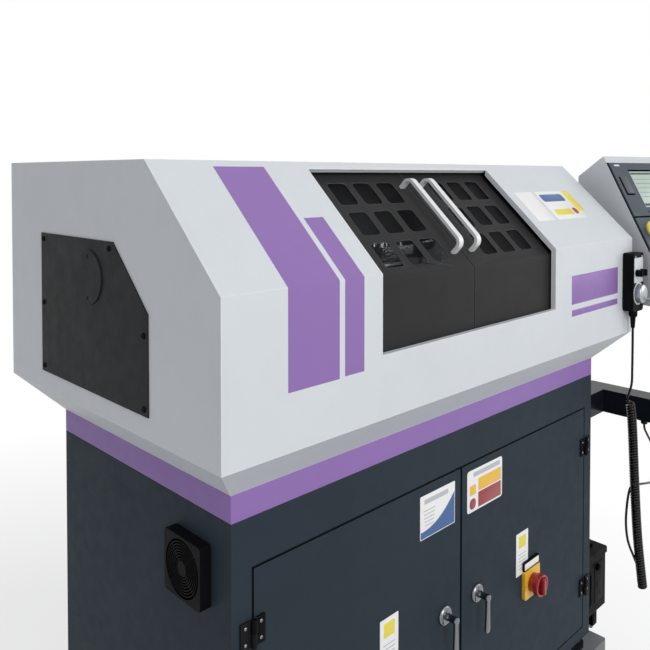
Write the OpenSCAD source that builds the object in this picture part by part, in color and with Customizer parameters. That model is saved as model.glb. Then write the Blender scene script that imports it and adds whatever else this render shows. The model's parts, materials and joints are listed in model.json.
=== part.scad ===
// CNC turning lathe with sloped guard doors, stand cabinet and swivel control panel.
// Millimetres. The origin is the centre of the anchor holes on the floor.
// +X runs to the right along the spindle, -Y faces the operator, +Z is up.

/* [Stand] */
// Length of the cabinet along X
cabinet_length = 1446; // [1300:1:1600]
// Depth of the cabinet along Y
cabinet_depth = 692; // [600:1:800]
// Height of the cabinet body
cabinet_height = 848; // [750:1:900]
// Sheet thickness of the cabinet
cabinet_sheet = 3; // [2:0.5:5]
// Side of a square foot pad
pad_side = 140; // [120:1:170]
// Height of a foot pad
pad_height = 50; // [30:1:70]
// Reach of a pad past the cabinet side
pad_reach = 69; // [60:1:80]
// Reach of a pad past the cabinet front and back
pad_front = 26; // [10:1:40]
// Radius of an anchor hole
anchor_r = 9; // [6:0.5:12]
// Distance of an anchor hole from the cabinet side
anchor_out = 37; // [25:1:45]
// Height of the levelling legs
leg_height = 40; // [25:1:60]
// Radius of a levelling leg
leg_r = 26; // [16:1:40]
// Height of the coloured chip tray
tray_height = 54; // [40:1:80]
// Sheet thickness of the chip tray
tray_sheet = 3; // [2:0.5:5]
// Width of the rim that carries the enclosure
rim_width = 16; // [12:1:24]
// Corner radius of a foot pad
pad_corner = 8; // [4:1:14]
// Setback of a levelling leg from the cabinet sides
leg_in = 12; // [6:1:20]
// Reach of the levelling foot past its leg
leg_foot = 8; // [4:1:12]

/* [Enclosure] */
// Length of the enclosure along X
enclosure_length = 1620; // [1560:1:1700]
// Reach of the enclosure in front of the cabinet
front_reach = 91; // [70:1:110]
// Reach of the enclosure behind the cabinet
back_reach = 109; // [80:1:130]
// Height of the slanted skirt
skirt_height = 88; // [60:1:110]
// Height of the upright front face
front_height = 301; // [280:1:330]
// Depth of the sloped front
slope_depth = 243; // [220:1:270]
// Rise of the sloped front
slope_rise = 233; // [215:1:250]
// Sheet thickness of the enclosure
enclosure_sheet = 2.5; // [2:0.5:4]
// Left edge of the door opening
opening_left = -404; // [-420:1:-390]
// Right edge of the door opening
opening_right = 314; // [300:1:330]
// Bottom of the door opening above the skirt
opening_sill = 134; // [120:1:150]
// Strip left above the opening on the slope
opening_strip = 20; // [14:1:30]
// Depth of the folded edge of the opening
reveal_depth = 14; // [8:1:17]

/* [Sliding doors] */
// Sheet thickness of the sliding doors
door_sheet = 2; // [1.5:0.5:3]
// Setback of the doors on the upright front
recess_front = 20; // [18:0.5:24]
// Setback of the doors on the slope
recess_slope = 28; // [24:0.5:32]
// Overlap of the doors behind the opening
door_overlap = 30; // [20:1:40]
// Gap between the two sliding doors
door_gap = 4; // [2:0.5:6]
// Overlap of the doors below the sill
door_drop = 20; // [16:1:26]
// Depth of the folded door ends
door_fold = 15; // [10:1:20]
// Clearance of the doors in their rails
rail_gap = 0.3; // [0.2:0.05:0.6]
// Wall of the door rails
rail_wall = 3; // [2:0.5:4]
// Height of the lower rail lips
rail_lip = 10; // [8:1:14]
// Width of a window
window_width = 61; // [50:1:70]
// Height of a window along the slope
window_height = 70; // [60:1:78]
// Corner radius of a window
window_r = 10; // [4:1:14]
// Window pitch along X
window_pitch_x = 85; // [75:1:90]
// Window pitch along the slope
window_pitch_s = 95; // [84:1:98]
// Distance of the middle windows from the knee
window_mid = 163; // [158:1:168]
// Distance of the left middle windows from the door split
window_left = 181; // [172:1:190]
// Distance of the right middle windows from the door split
window_right = 196; // [186:1:202]
// Thickness of the window panes
pane_thick = 4; // [3:0.5:6]
// Seal gap between a pane and its door
pane_gap = 0.2; // [0.1:0.05:0.5]
// Overlap of a pane past the outer windows
pane_lap = 8; // [5:1:10]
// Length of a pull handle
handle_length = 232; // [200:1:250]
// Width of a pull handle
handle_width = 17; // [12:1:22]
// Bar thickness of a pull handle
handle_bar = 8; // [6:0.5:12]
// Reach of a pull handle
handle_reach = 42; // [34:1:50]
// Bend radius of a pull handle
handle_bend = 22; // [14:1:26]
// Distance of a pull handle from the split
handle_out = 37; // [30:1:44]

/* [Side cover] */
// Thickness of the black side cover
cover_thick = 3; // [2:0.5:5]
// Front edge of the side cover behind the enclosure front
cover_front = 229; // [215:1:245]
// Length of the side cover
cover_length = 478; // [460:1:500]
// Bottom edge of the side cover above the skirt
cover_low = 44; // [35:1:60]
// Height of the side cover
cover_height = 325; // [300:1:345]
// Depth of the slanted corner of the cover
cover_corner = 134; // [110:1:150]
// Radius of the round bar hole cover
disc_r = 58; // [52:1:66]
// Thickness of the round cover
disc_thick = 3; // [2:0.5:5]

/* [Cabinet doors] */
// Left edge of the cabinet door opening
cabdoor_left = -674; // [-684:1:-660]
// Right edge of the cabinet door opening
cabdoor_right = 678; // [660:1:684]
// Place of the split between the doors
cabdoor_split = 4; // [-6:1:12]
// Bottom of the door opening above the cabinet base
cabdoor_low = 36; // [26:1:50]
// Top of the door opening below the cabinet top
cabdoor_top = 97; // [85:1:120]
// Width of the lip that the doors close against
frame_lip = 14; // [10:1:18]
// Thickness of the lip and the middle post
frame_thick = 2.5; // [2:0.5:4]
// Gap round the cabinet doors
cabdoor_gap = 1.5; // [1:0.25:3]
// Thickness of a cabinet door
cabdoor_thick = 20; // [16:1:26]
// Sheet of a cabinet door
cabdoor_sheet = 2; // [1.5:0.5:3]
// Width of one hinge leaf
leaf_width = 30; // [26:1:36]
// Height of a hinge
hinge_height = 54; // [44:2:64]
// Thickness of a hinge leaf
leaf_thick = 4; // [3:0.5:5]
// Radius of the hinge knuckles
knuckle_r = 6; // [5:0.5:7]
// Radius of the hinge pins
hinge_pin_r = 3; // [2:0.5:4]
// Distance of the upper hinges below the door opening top
hinge_upper = 125; // [100:1:150]
// Distance of the lower hinges above the door opening bottom
hinge_lower = 137; // [110:1:160]
// Gap between the two knuckles of a hinge
knuckle_gap = 0.4; // [0.2:0.1:0.8]
// Half width of the middle post behind the doors
frame_half = 34; // [26:1:40]
// Reach of a latch cam behind the post
cam_bite = 12; // [8:1:16]
// Gap between a latch cam and the post
cam_gap = 3; // [2:0.5:5]
// Thickness of a latch cam
cam_thick = 3; // [2:0.5:5]
// Width of a latch cam
cam_width = 18; // [14:1:24]
// Distance of a latch from the split
latch_out = 70; // [60:1:84]
// Height of the latches above the cabinet base
latch_height = 397; // [370:1:420]
// Radius of a latch rose
rose_r = 28; // [22:1:34]
// Thickness of a latch rose
rose_thick = 9; // [6:1:12]
// Radius of the latch hub
hub_r = 11; // [9:0.5:14]
// Reach of the latch hub in front of the rose
hub_reach = 32; // [24:1:40]
// Length of a latch lever
lever_length = 108; // [90:1:125]
// Width of a latch lever
lever_width = 14; // [10:1:18]
// Thickness of a latch lever
lever_thick = 9; // [6:1:12]
// Wall of the sleeve round a latch shaft
sleeve_wall = 3; // [2:0.5:5]
// Reach of the sleeve behind the door sheet
sleeve_reach = 8; // [5:1:12]

/* [Main switch] */
// Place of the switch along X
switch_x = 344; // [325:1:365]
// Height of the switch above the cabinet base
switch_z = 322; // [300:1:345]
// Side of the switch plate
switch_side = 82; // [70:1:95]
// Height of the strip above the switch
switch_strip = 25; // [18:1:32]
// Thickness of the switch plate
switch_thick = 10; // [6:1:14]
// Radius of the switch knob
switch_r = 31; // [26:1:36]
// Height of the knob collar
switch_collar = 10; // [6:1:14]
// Height of the knob grip
switch_grip = 32; // [24:1:40]
// Radius of the switch shaft
shaft_r = 7; // [5:0.5:9]
// Radius of the switch body behind the door
switch_body = 15.7; // [12:0.1:20]
// Depth of the switch body behind the door
switch_depth = 60; // [45:1:80]
// Width of the knob grip
grip_width = 18; // [14:1:22]

/* [Fan] */
// Side of the fan guard
fan_side = 124; // [119:1:135]
// Thickness of the fan guard
fan_thick = 26; // [20:1:32]
// Place of the fan behind the cabinet front
fan_back = 125; // [110:1:140]
// Distance of the fan below the cabinet top
fan_drop = 121; // [100:1:150]
// Width of a ring of the fan guard
ring_width = 5; // [3:0.5:6]
// Depth of the rings of the fan guard
ring_depth = 4; // [3:0.5:6]
// Radius of the fan hub
fan_hub = 20; // [16:1:24]
// Radius of the fan axle
fan_axle = 4; // [3:0.5:5]
// Radius of the fan opening
fan_r = 55; // [50:1:58]
// Depth of the fan frame inside the wall
fan_depth = 38; // [25:1:45]

/* [Lubricator] */
// Length of the lubricator box along X
lub_length = 157; // [130:1:180]
// Depth of the lubricator box
lub_depth = 100; // [80:1:130]
// Height of the lubricator tank
lub_height = 178; // [150:1:200]
// Height of the lubricator head
lub_head = 24; // [16:1:32]
// Height of the lubricator above the cabinet base
lub_z = 23; // [14:1:40]
// Setback of the lubricator behind the cabinet front
lub_back = 19; // [10:1:40]
// Wall of the lubricator tank
lub_wall = 4; // [3:0.5:6]
// Reach of the lubricator head past its tank
lub_rim = 4; // [2:1:8]
// Radius of the lubricator outlet
lub_outlet = 9; // [6:1:12]
// Radius of the filler cap
lub_cap = 20; // [14:1:26]

/* [Machine] */
// Spindle axis behind the cabinet middle
spindle_y = 29; // [20:1:40]
// Spindle axis above the skirt
spindle_z = 288; // [270:1:300]
// Radius of the spindle in its bearings
spindle_r = 40; // [34:1:46]
// Radius of the spindle bore
spindle_bore = 20; // [12:1:26]
// Running clearance of turning parts
run_gap = 0.05; // [0.02:0.01:0.09]
// Clearance of sliding faces
slide_gap = 0.3; // [0.2:0.05:0.5]
// Height of the centres above the bed
centre_height = 125; // [115:1:135]
// Width of the bed
bed_width = 220; // [200:1:250]
// Left end of the bed from the enclosure end
bed_in_left = 170; // [155:1:185]
// Right end of the bed from the enclosure end
bed_in_right = 230; // [210:1:250]
// Thickness of the bed ways
way_thick = 26; // [20:1:32]
// Undercut of the bed ways
way_under = 14; // [8:1:18]
// Width of one bed way
way_width = 50; // [40:1:60]
// Length of a bed foot
bed_foot = 300; // [240:1:340]
// Height of the bed beam
bed_beam = 123; // [100:1:140]
// Length of the headstock
head_length = 295; // [270:1:305]
// Height of the headstock above the centres
head_over = 92; // [80:1:110]
// Edge radius of the headstock top
head_round = 30; // [20:1:40]
// Length of the spindle nose
nose_length = 15; // [12:1:20]
// Reach of the spindle flange past the spindle
nose_out = 22; // [16:1:28]
// Thickness of the rear bearing cap
cap_thick = 10; // [6:1:16]
// Radius of the chuck
chuck_r = 80; // [70:1:90]
// Length of the chuck
chuck_length = 86; // [75:1:95]
// Width of a chuck jaw
jaw_width = 20; // [16:1:26]
// Reach of the jaws in front of the chuck
jaw_reach = 34; // [25:1:40]
// Inner radius of the jaws
jaw_in = 26; // [23:1:32]
// Radial length of the jaws
jaw_long = 44; // [36:1:46]
// Depth of the jaw slots
jaw_deep = 14; // [10:1:20]
// Chamfer of the chuck
chuck_edge = 4; // [2:0.5:6]
// Radius of the chuck key sockets
socket_r = 7; // [5:0.5:9]
// Radius of the spindle pulley
pulley_r = 60; // [50:1:66]
// Radius of the motor pulley
motor_pulley_r = 45; // [36:1:54]
// Width of the pulleys
pulley_width = 40; // [30:1:46]
// Distance of the pulleys from the bed
pulley_out = 60; // [50:1:66]
// Belt thickness
belt_thick = 4; // [3:0.5:6]
// Motor axis behind the spindle axis
motor_back = 261; // [240:1:280]
// Motor axis below the spindle axis
motor_drop = 188; // [170:1:210]
// Motor radius
motor_r = 75; // [60:1:85]
// Motor length
motor_length = 220; // [180:1:260]
// Motor shaft radius
motor_shaft = 14; // [10:0.5:18]

/* [Carriage] */
// Middle of the carriage from the chuck face
carriage_out = 159; // [152:1:170]
// Reach of the carriage in front of the bed
carriage_front = 150; // [145:1:160]
// Length of the carriage along X
carriage_length = 200; // [180:1:220]
// Thickness of the carriage
carriage_thick = 32; // [26:1:36]
// Height of the cross slide
cross_thick = 28; // [22:1:32]
// Width of the cross slide
cross_width = 140; // [130:1:150]
// Length of the cross slide
cross_length = 180; // [165:1:185]
// Height of the guide rib
rib_height = 8; // [6:1:12]
// Width of the guide rib
rib_width = 60; // [50:1:80]
// Turret middle in front of the spindle axis
turret_front = 179; // [170:1:188]
// Side of the turret
turret_side = 120; // [100:1:128]
// Height of the turret base
turret_base = 22; // [16:1:28]
// Height of the turret head
turret_height = 74; // [66:1:80]
// Radius of the turret base
turret_r = 50; // [42:1:58]
// Radius of the turret pin
turret_pin = 12; // [9:0.5:15]
// Radius of the tool clamp screws
clamp_r = 5; // [4:0.5:6]
// Side of a tool bar
tool_side = 16; // [12:1:20]
// Reach of a tool past the turret
tool_reach = 35; // [25:1:38]
// Radius of the feed screw
screw_r = 10; // [8:0.5:12]
// Feed screw in front of the bed
screw_front = 27; // [24:1:34]
// Clearance of the feed motor below the bed top
feed_clear = 3; // [2:0.5:6]
// Side of the feed motor
feed_side = 80; // [70:1:84]
// Length of the feed motor
feed_length = 118; // [90:1:140]

/* [Tailstock] */
// Left face of the tailstock from the bed end
tail_in = 220; // [205:1:230]
// Length of the tailstock
tail_length = 185; // [160:1:190]
// Radius of the tailstock barrel
tail_r = 46; // [38:1:52]
// Radius of the quill
quill_r = 25; // [20:1:30]
// Reach of the quill with its centre
quill_reach = 45; // [35:1:55]
// Height of the tailstock base
tail_base = 45; // [35:1:55]
// Width of the tailstock column
tail_column = 80; // [60:1:88]
// Radius of the tailstock handwheel
tail_wheel = 55; // [45:1:65]

/* [Control arm] */
// Side of the square arm tube
tube = 80; // [70:1:90]
// Wall of the arm tube
tube_wall = 4; // [3:0.5:6]
// Arm middle behind the cabinet front
arm_back = 114; // [100:1:130]
// Distance of the arm top below the cabinet top
arm_drop = 117; // [100:1:130]
// Thickness of the arm flange
flange_thick = 8; // [6:1:12]
// Reach of the arm flange past the tube
flange_out = 25; // [18:1:30]
// Radius of the cord gland under the arm
gland_r = 11; // [8:1:14]
// Length of the cord gland under the arm
gland_length = 20; // [14:1:28]
// Post middle outside the cabinet side
post_out = 290; // [280:1:310]
// Post middle in front of the cabinet
post_front = 134; // [125:1:145]
// Height of the post above the arm
post_height = 332; // [310:1:345]
// Radius of the swivel flange
swivel_r = 58; // [50:1:66]
// Thickness of the swivel flange
swivel_thick = 12; // [8:1:16]
// Radius of the swivel pin
swivel_pin = 22; // [16:1:26]
// Length of the swivel pin
pin_length = 60; // [45:1:70]

/* [Control panel] */
// Turn of the panel toward the left
panel_turn = 15; // [10:1:20]
// Panel width left of the post
panel_left = 180; // [165:1:182]
// Panel width right of the post
panel_right = 240; // [220:1:260]
// Top ridge behind the post axis
ridge_back = 128; // [115:1:135]
// Height of the ridge above the housing bottom
ridge_height = 482; // [460:1:500]
// Reach of the sloped face in front of the ridge
face_reach = 186; // [175:1:190]
// Drop of the sloped face below the ridge
face_drop = 316; // [300:1:330]
// Reach of the apron in front of the ridge
apron_reach = 195; // [190:1:198]
// Reach of the housing behind the ridge
hood_back = 105; // [90:1:115]
// Drop of the hood behind the ridge
hood_drop = 68; // [50:1:80]
// Sheet thickness of the panel housing
housing_sheet = 3; // [2:0.5:5]
// Margin round the operator unit
panel_margin = 14; // [8:1:20]
// Height of the operator unit along the face
unit_height = 203; // [190:1:210]
// Height of the key field along the face
keys_height = 128; // [118:1:134]
// Thickness of the panel plates
plate_thick = 6; // [4:1:9]
// Width of the screen
screen_width = 175; // [150:1:190]
// Height of the screen
screen_height = 140; // [120:1:150]
// Radius of the stop button
stop_r = 20; // [16:1:24]
// Radius of the stop button collar
collar_r = 32; // [27:1:36]
// Travel of the stop button
stop_travel = 5; // [3:0.5:7]

/* [Pendant] */
// Left side of the pendant from the enclosure end
pendant_in = 72; // [68:1:80]
// Width of the pendant
pendant_width = 74; // [70:1:78]
// Depth of the pendant
pendant_depth = 33; // [28:1:40]
// Height of the pendant
pendant_height = 184; // [170:1:195]
// Bottom of the pendant above the skirt
pendant_low = 74; // [60:1:90]
// Thickness of the pendant plate on the enclosure
hook_thick = 3; // [2:0.5:5]
// Radius of the handwheel
wheel_r = 29; // [24:1:32]
// Radius of the selector knobs
knob_r = 11; // [8:1:14]
// Radius of the selector shafts
knob_pin = 4; // [3:0.5:5]
// Distance of a selector from the pendant middle
knob_out = 17; // [15:1:20]
// Height of the selectors above the pendant bottom
knob_z = 122; // [110:1:135]
// Radius of the handwheel shaft
wheel_pin = 6; // [4:0.5:8]
// Height of the handwheel above the pendant bottom
wheel_z = 56; // [45:1:65]
// Radius of the pendant cord
cord_r = 3; // [2.5:0.25:4]
// Outer radius of the coil
coil_r = 15; // [13:0.5:16]
// Length of the cord gland below the pendant
gland_drop = 55; // [45:1:60]

/* [Inside the cabinet] */
// Width of the electrical plate
elec_width = 1100; // [1000:1:1200]
// Height of the electrical plate
elec_height = 560; // [450:1:580]
// Thickness of the electrical plate
elec_plate = 3; // [2:0.5:5]
// Distance of the electrical plate below the cabinet top
elec_top = 28; // [20:1:50]
// Length of the plate's standoffs
elec_standoff = 27; // [20:1:35]
// Margin round the devices on the plate
elec_margin = 40; // [30:1:60]
// Width of a drive
drive_width = 95; // [80:1:100]
// Pitch of the drives
drive_pitch = 110; // [105:1:118]
// Height of a drive
drive_height = 200; // [160:1:220]
// Depth of a drive
drive_depth = 160; // [120:1:180]
// Width of a relay
relay_width = 48; // [36:1:52]
// Pitch of the relays
relay_pitch = 60; // [56:1:66]
// Height of a relay
relay_height = 90; // [70:1:100]
// Depth of a relay
relay_depth = 76; // [60:1:90]
// Height of the terminal rows
terminal_height = 50; // [40:1:60]
// Depth of the terminal rows
terminal_depth = 41; // [30:1:60]
// Left side of the coolant tank
tank_left = 90; // [70:1:110]
// Front of the coolant tank behind the cabinet front
tank_back = 126; // [110:1:150]
// Length of the coolant tank
tank_length = 520; // [420:1:580]
// Depth of the coolant tank
tank_depth = 340; // [300:1:360]
// Height of the coolant tank
tank_height = 200; // [150:1:220]
// Wall of the coolant tank
tank_wall = 3; // [2:0.5:5]
// Radius of the coolant pump
pump_r = 45; // [36:1:55]
// Height of the coolant pump
pump_height = 150; // [120:1:180]

/* [Hidden] */
$fn = 48;

cabinet_base = pad_height + leg_height;
z_tray = cabinet_base + cabinet_height;
z_rim = z_tray + tray_height;
z_skirt = z_rim + skirt_height;
z_knee = z_skirt + front_height;
z_top = z_knee + slope_rise;
y_front = -cabinet_depth / 2 - front_reach;
y_back = cabinet_depth / 2 + back_reach;
half_l = enclosure_length / 2;
half_c = cabinet_length / 2;
cab_front = -cabinet_depth / 2;
slope_len = norm([slope_depth, slope_rise]);
slope_ang = atan2(slope_rise, slope_depth);
knee = [y_front, z_knee];
su = [slope_depth, slope_rise] / slope_len;
sn = [su[1], -su[0]];
s_top = slope_len - opening_strip;
door_top = s_top + 13;
z_sill = z_skirt + opening_sill;
y_door = y_front + recess_front;
z_door = z_sill - door_drop;
split = (opening_left + opening_right) / 2;
z_spindle = z_skirt + spindle_z;
z_bed = z_spindle - centre_height;
pad_x = half_c + pad_reach - pad_side / 2;
pad_y = cabinet_depth / 2 + pad_front - pad_side / 2;
anchor_x = half_c + anchor_out;
cabdoor_z0 = cabinet_base + cabdoor_low;
cabdoor_z1 = z_tray - cabdoor_top;
frame_y0 = cab_front + cabdoor_thick + cabdoor_gap;
frame_y1 = frame_y0 + frame_thick;
pin_y = cab_front - knuckle_r - 1;
leaf_clear = 1.5;
post_x = half_c + post_out;
post_y = cab_front - post_front;
arm_y = cab_front + arm_back;
arm_z = z_tray - arm_drop;
post_top = arm_z + post_height;
z_panel = post_top + swivel_thick;
face_len = norm([face_reach, face_drop]);
face_ang = atan2(face_reach, face_drop);
pend_x = half_l - pendant_in;
pend_z = z_skirt + pendant_low;
pend_y = y_front - hook_thick - pendant_depth;
bed_left = -half_l + bed_in_left;
bed_right = half_l - bed_in_right;
chuck_x = bed_left + head_length + nose_length;
face_x = chuck_x + chuck_length;
carriage_x = face_x + carriage_out;
tail_x = bed_right - tail_in;
z_saddle = z_bed + slide_gap;
z_cross = z_saddle + carriage_thick + slide_gap;
z_turret = z_cross + cross_thick + turret_base;
turret_y = spindle_y - turret_front;
bed_y0 = spindle_y - bed_width / 2;
bed_y1 = spindle_y + bed_width / 2;
screw_y = bed_y0 - screw_front;
screw_z = z_bed - feed_side / 2 - feed_clear;
pulley_x = bed_left - pulley_out - pulley_width;
motor_y = spindle_y + motor_back;
motor_z = z_spindle - motor_drop;
fan_y = cab_front + fan_back;
fan_zc = z_tray - fan_drop;
latch_z = cabinet_base + latch_height;
y_cam = frame_y1 + cam_gap;
switch_zc = cabinet_base + switch_z;
lub_z0 = cabinet_base + lub_z;
lub_y0 = cab_front + lub_back;
enc_yz = [[cab_front, z_rim], [cabinet_depth / 2, z_rim], [y_back, z_skirt], [y_back, z_top],
    [y_front + slope_depth, z_top], [y_front, z_knee], [y_front, z_skirt]];
enc_xz = [[-half_c, z_rim], [half_c, z_rim], [half_l, z_skirt], [half_l, z_top], [-half_l, z_top],
    [-half_l, z_skirt]];
panel_yz = [[ridge_back, 0], [ridge_back + hood_back, 150], [ridge_back + hood_back, ridge_height - hood_drop],
    [ridge_back, ridge_height], [ridge_back - face_reach, ridge_height - face_drop], [ridge_back - apron_reach, 0]];
quill_x1 = tail_x + tail_length - 25;
cord_top = [pend_x + pendant_width / 2, pend_y + pendant_depth / 2, pend_z - gland_drop];
cord_end = [post_x, post_y + tube, arm_z - tube - gland_length];

// Routes of the pendant cord from its gland, and from the gland under the arm
lead_route = [[0, 0, 0], [0, 0, -90], [0, 0, -170], [-3, 6, -231]];
coil_route = [[-3, 6, -231], [3, 0, -309], [11, -5, -509], [25, -8, -679], [45, -16, -849]];
tail_route = [[45, -16, -849], [43, -14, -863], [33, -5, -873], [25, 6, -861], [26, 12, -829], [31, 12, -759],
    [20, 20, -699], [3, 23, -639], [6, 20, -584], [17, 16, -544], [40, 12, -519], [85, 10, -511], [145, 12, -513]];
tail_end = [[-43, -28, -125], [-13, -8, -91], [-1, -1, -51], [0, 0, 0]];

function unit(v) = v / norm(v);
function left_of(a, b) = let (u = unit(b - a)) [-u[1], u[0]];
function crs(a, b) = a[0] * b[1] - a[1] * b[0];
function meet(p, u, q, v) = p + u * (crs(q - p, v) / crs(u, v));
function corner(a, b, c, d) = meet(b + left_of(a, b) * d, b - a, b + left_of(b, c) * d, c - b);
function inset(p, d) = let (n = len(p)) [for (i = [0:n - 1]) corner(p[(i + n - 1) % n], p[i], p[(i + 1) % n], d)];
function slp(s, d) = knee + su * s + sn * d;
function knee_at(f, d) = meet([y_front + f, z_knee], [0, 1], slp(0, d), su);
function bend(a, b, c, d, t) = b + (c - a) * t / 2 + (2 * a - 5 * b + 4 * c - d) * t * t / 2
    + (3 * b - a - 3 * c + d) * t * t * t / 2;
function smooth(p, n) = let (m = len(p) - 1) concat([for (i = [0:m - 1], k = [0:n - 1])
    bend(p[max(i - 1, 0)], p[i], p[i + 1], p[min(i + 2, m)], k / n)], [p[m]]);
function along(p, i) = unit(p[min(i + 1, len(p) - 1)] - p[max(i - 1, 0)]);
function ring(c, t, r, n) = let (u = unit(cross(t, [0, 1, 0])), v = cross(t, u))
    [for (k = [0:n - 1]) c + r * (cos(360 * k / n) * u + sin(360 * k / n) * v)];

module tube(p, r, n) {
    m = len(p) - 1;
    polyhedron([for (i = [0:m]) each ring(p[i], along(p, i), r, n)], concat(
        [[for (k = [0:n - 1]) n - 1 - k], [for (k = [0:n - 1]) m * n + k]],
        [for (i = [0:m - 1], k = [0:n - 1]) [i * n + k, i * n + (k + 1) % n, (i + 1) * n + k]],
        [for (i = [0:m - 1], k = [0:n - 1]) [i * n + (k + 1) % n, (i + 1) * n + (k + 1) % n, (i + 1) * n + k]]));
}
module box(x0, x1, y0, y1, z0, z1) {
    translate([x0, y0, z0]) cube([x1 - x0, y1 - y0, z1 - z0]);
}
module prism_x(pts, x0, x1) {
    translate([x0, 0, 0]) rotate([90, 0, 90]) linear_extrude(x1 - x0) polygon(pts);
}
module prism_y(pts, y0, y1) {
    translate([0, y1, 0]) rotate([90, 0, 0]) linear_extrude(y1 - y0) polygon(pts);
}
module rod_x(x0, x1, y, z, r) {
    translate([x0, y, z]) rotate([0, 90, 0]) cylinder(r = r, h = x1 - x0);
}
module rod_y(x, y0, y1, z, r) {
    translate([x, y1, z]) rotate([90, 0, 0]) cylinder(r = r, h = y1 - y0);
}
module rod(p, q, r) {
    v = q - p;
    translate(p) rotate([0, acos(v[2] / norm(v)), atan2(v[1], v[0])]) cylinder(r = r, h = norm(v), $fn = 24);
}
module rrect(w, h, r) {
    square([w - 2 * r, h], center = true);
    square([w, h - 2 * r], center = true);
    for (i = [-1, 1], j = [-1, 1]) translate([i * (w / 2 - r), j * (h / 2 - r)]) circle(r);
}
module on_slope() {
    translate([0, knee[0], knee[1]]) rotate([slope_ang, 0, 0]) children();
}
module at_post() {
    translate([post_x, post_y, z_panel]) rotate([0, 0, -panel_turn]) children();
}
module on_face() {
    at_post() translate([0, ridge_back, ridge_height]) rotate([90 - face_ang, 0, 0]) children();
}

// Stand
module cabinet_shell() {
    t = cabinet_sheet;
    color([0.2, 0.22, 0.25]) difference() {
        box(-half_c, half_c, cab_front, -cab_front, cabinet_base, z_tray);
        box(-half_c + t, half_c - t, frame_y1, -cab_front - t, cabinet_base + t, z_tray - t);
        box(cabdoor_left, cabdoor_right, cab_front - 1, frame_y0, cabdoor_z0, cabdoor_z1);
        for (p = [[cabdoor_left + frame_lip, cabdoor_split - frame_half],
            [cabdoor_split + frame_half, cabdoor_right - frame_lip]])
            box(p[0], p[1], cab_front, frame_y1 + 1, cabdoor_z0 + frame_lip, cabdoor_z1 - frame_lip);
        rod_x(-half_c - 1, -half_c + t + 1, fan_y, fan_zc, fan_r);
    }
}
module foot_pads() {
    color([0.5, 0.5, 0.52]) for (i = [-1, 1], j = [-1, 1]) difference() {
        translate([i * pad_x, j * pad_y, 0]) linear_extrude(pad_height) rrect(pad_side, pad_side, pad_corner);
        translate([i * anchor_x, j * pad_y, -1]) cylinder(r = anchor_r, h = pad_height + 2);
    }
}
module levelling_legs() {
    x = half_c - leg_r - leg_in;
    y = cabinet_depth / 2 - leg_r - leg_in;
    color([0.1, 0.1, 0.1]) for (i = [-1, 1], j = [-1, 1]) translate([i * x, j * y, pad_height]) {
        cylinder(r = leg_r, h = leg_height);
        cylinder(r = leg_r + leg_foot, h = leg_height / 3);
    }
}
module chip_tray() {
    color([0.58, 0.44, 0.7]) difference() {
        box(-half_c, half_c, cab_front, -cab_front, z_tray, z_rim);
        box(-half_c + tray_sheet, half_c - tray_sheet, cab_front + tray_sheet, -cab_front - tray_sheet,
            z_tray + tray_sheet, z_rim - tray_sheet);
        box(-half_c + rim_width, half_c - rim_width, cab_front + rim_width, -cab_front - rim_width,
            z_tray + tray_sheet, z_rim + 1);
    }
}

// Enclosure
module opening_band(x0, x1) {
    intersection() {
        difference() {
            prism_x(enc_yz, x0, x1);
            prism_x(inset(enc_yz, reveal_depth), x0 - 1, x1 + 1);
        }
        box(x0 - 1, x1 + 1, y_front - 1, slp(s_top, 0)[0], z_sill, z_top + 1);
    }
}
module enclosure_shell() {
    t = enclosure_sheet;
    color([0.85, 0.87, 0.88]) {
        difference() {
            intersection() {
                prism_x(enc_yz, -half_l, half_l);
                prism_y(enc_xz, y_front, y_back);
            }
            intersection() {
                prism_x(inset(enc_yz, t), -half_l, half_l);
                prism_y(inset(enc_xz, t), y_front, y_back);
            }
            box(-half_c + rim_width, half_c - rim_width, cab_front + rim_width, -cab_front - rim_width, z_rim - 1, z_rim + t + 1);
            box(opening_left, opening_right, y_front - 1, slp(s_top, 0)[0], z_sill, z_top + 1);
            rod_x(-half_l - 1, -half_l + t + 1, spindle_y, z_spindle, spindle_r + 6);
        }
        opening_band(opening_left - t, opening_left);
        opening_band(opening_right, opening_right + t);
        box(opening_left - t, opening_right + t, y_front, y_front + reveal_depth, z_sill - t, z_sill);
        on_slope() translate([opening_left - t, s_top, -reveal_depth]) cube([opening_right - opening_left + 2 * t, t, reveal_depth]);
    }
}
module side_cover() {
    y0 = y_front + cover_front;
    z0 = z_skirt + cover_low;
    h = cover_corner * slope_rise / slope_depth;
    color([0.18, 0.18, 0.19]) difference() {
        prism_x([[y0, z0], [y0 + cover_length, z0], [y0 + cover_length, z0 + cover_height],
            [y0 + cover_corner, z0 + cover_height], [y0, z0 + cover_height - h]], -half_l - cover_thick, -half_l);
        rod_x(-half_l - cover_thick - 1, -half_l + 1, spindle_y, z_spindle, spindle_r + 6);
    }
}
module bar_hole_cover() {
    color([0.16, 0.16, 0.17]) rod_x(-half_l - cover_thick - disc_thick, -half_l - cover_thick, spindle_y, z_spindle, disc_r);
}

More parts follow.
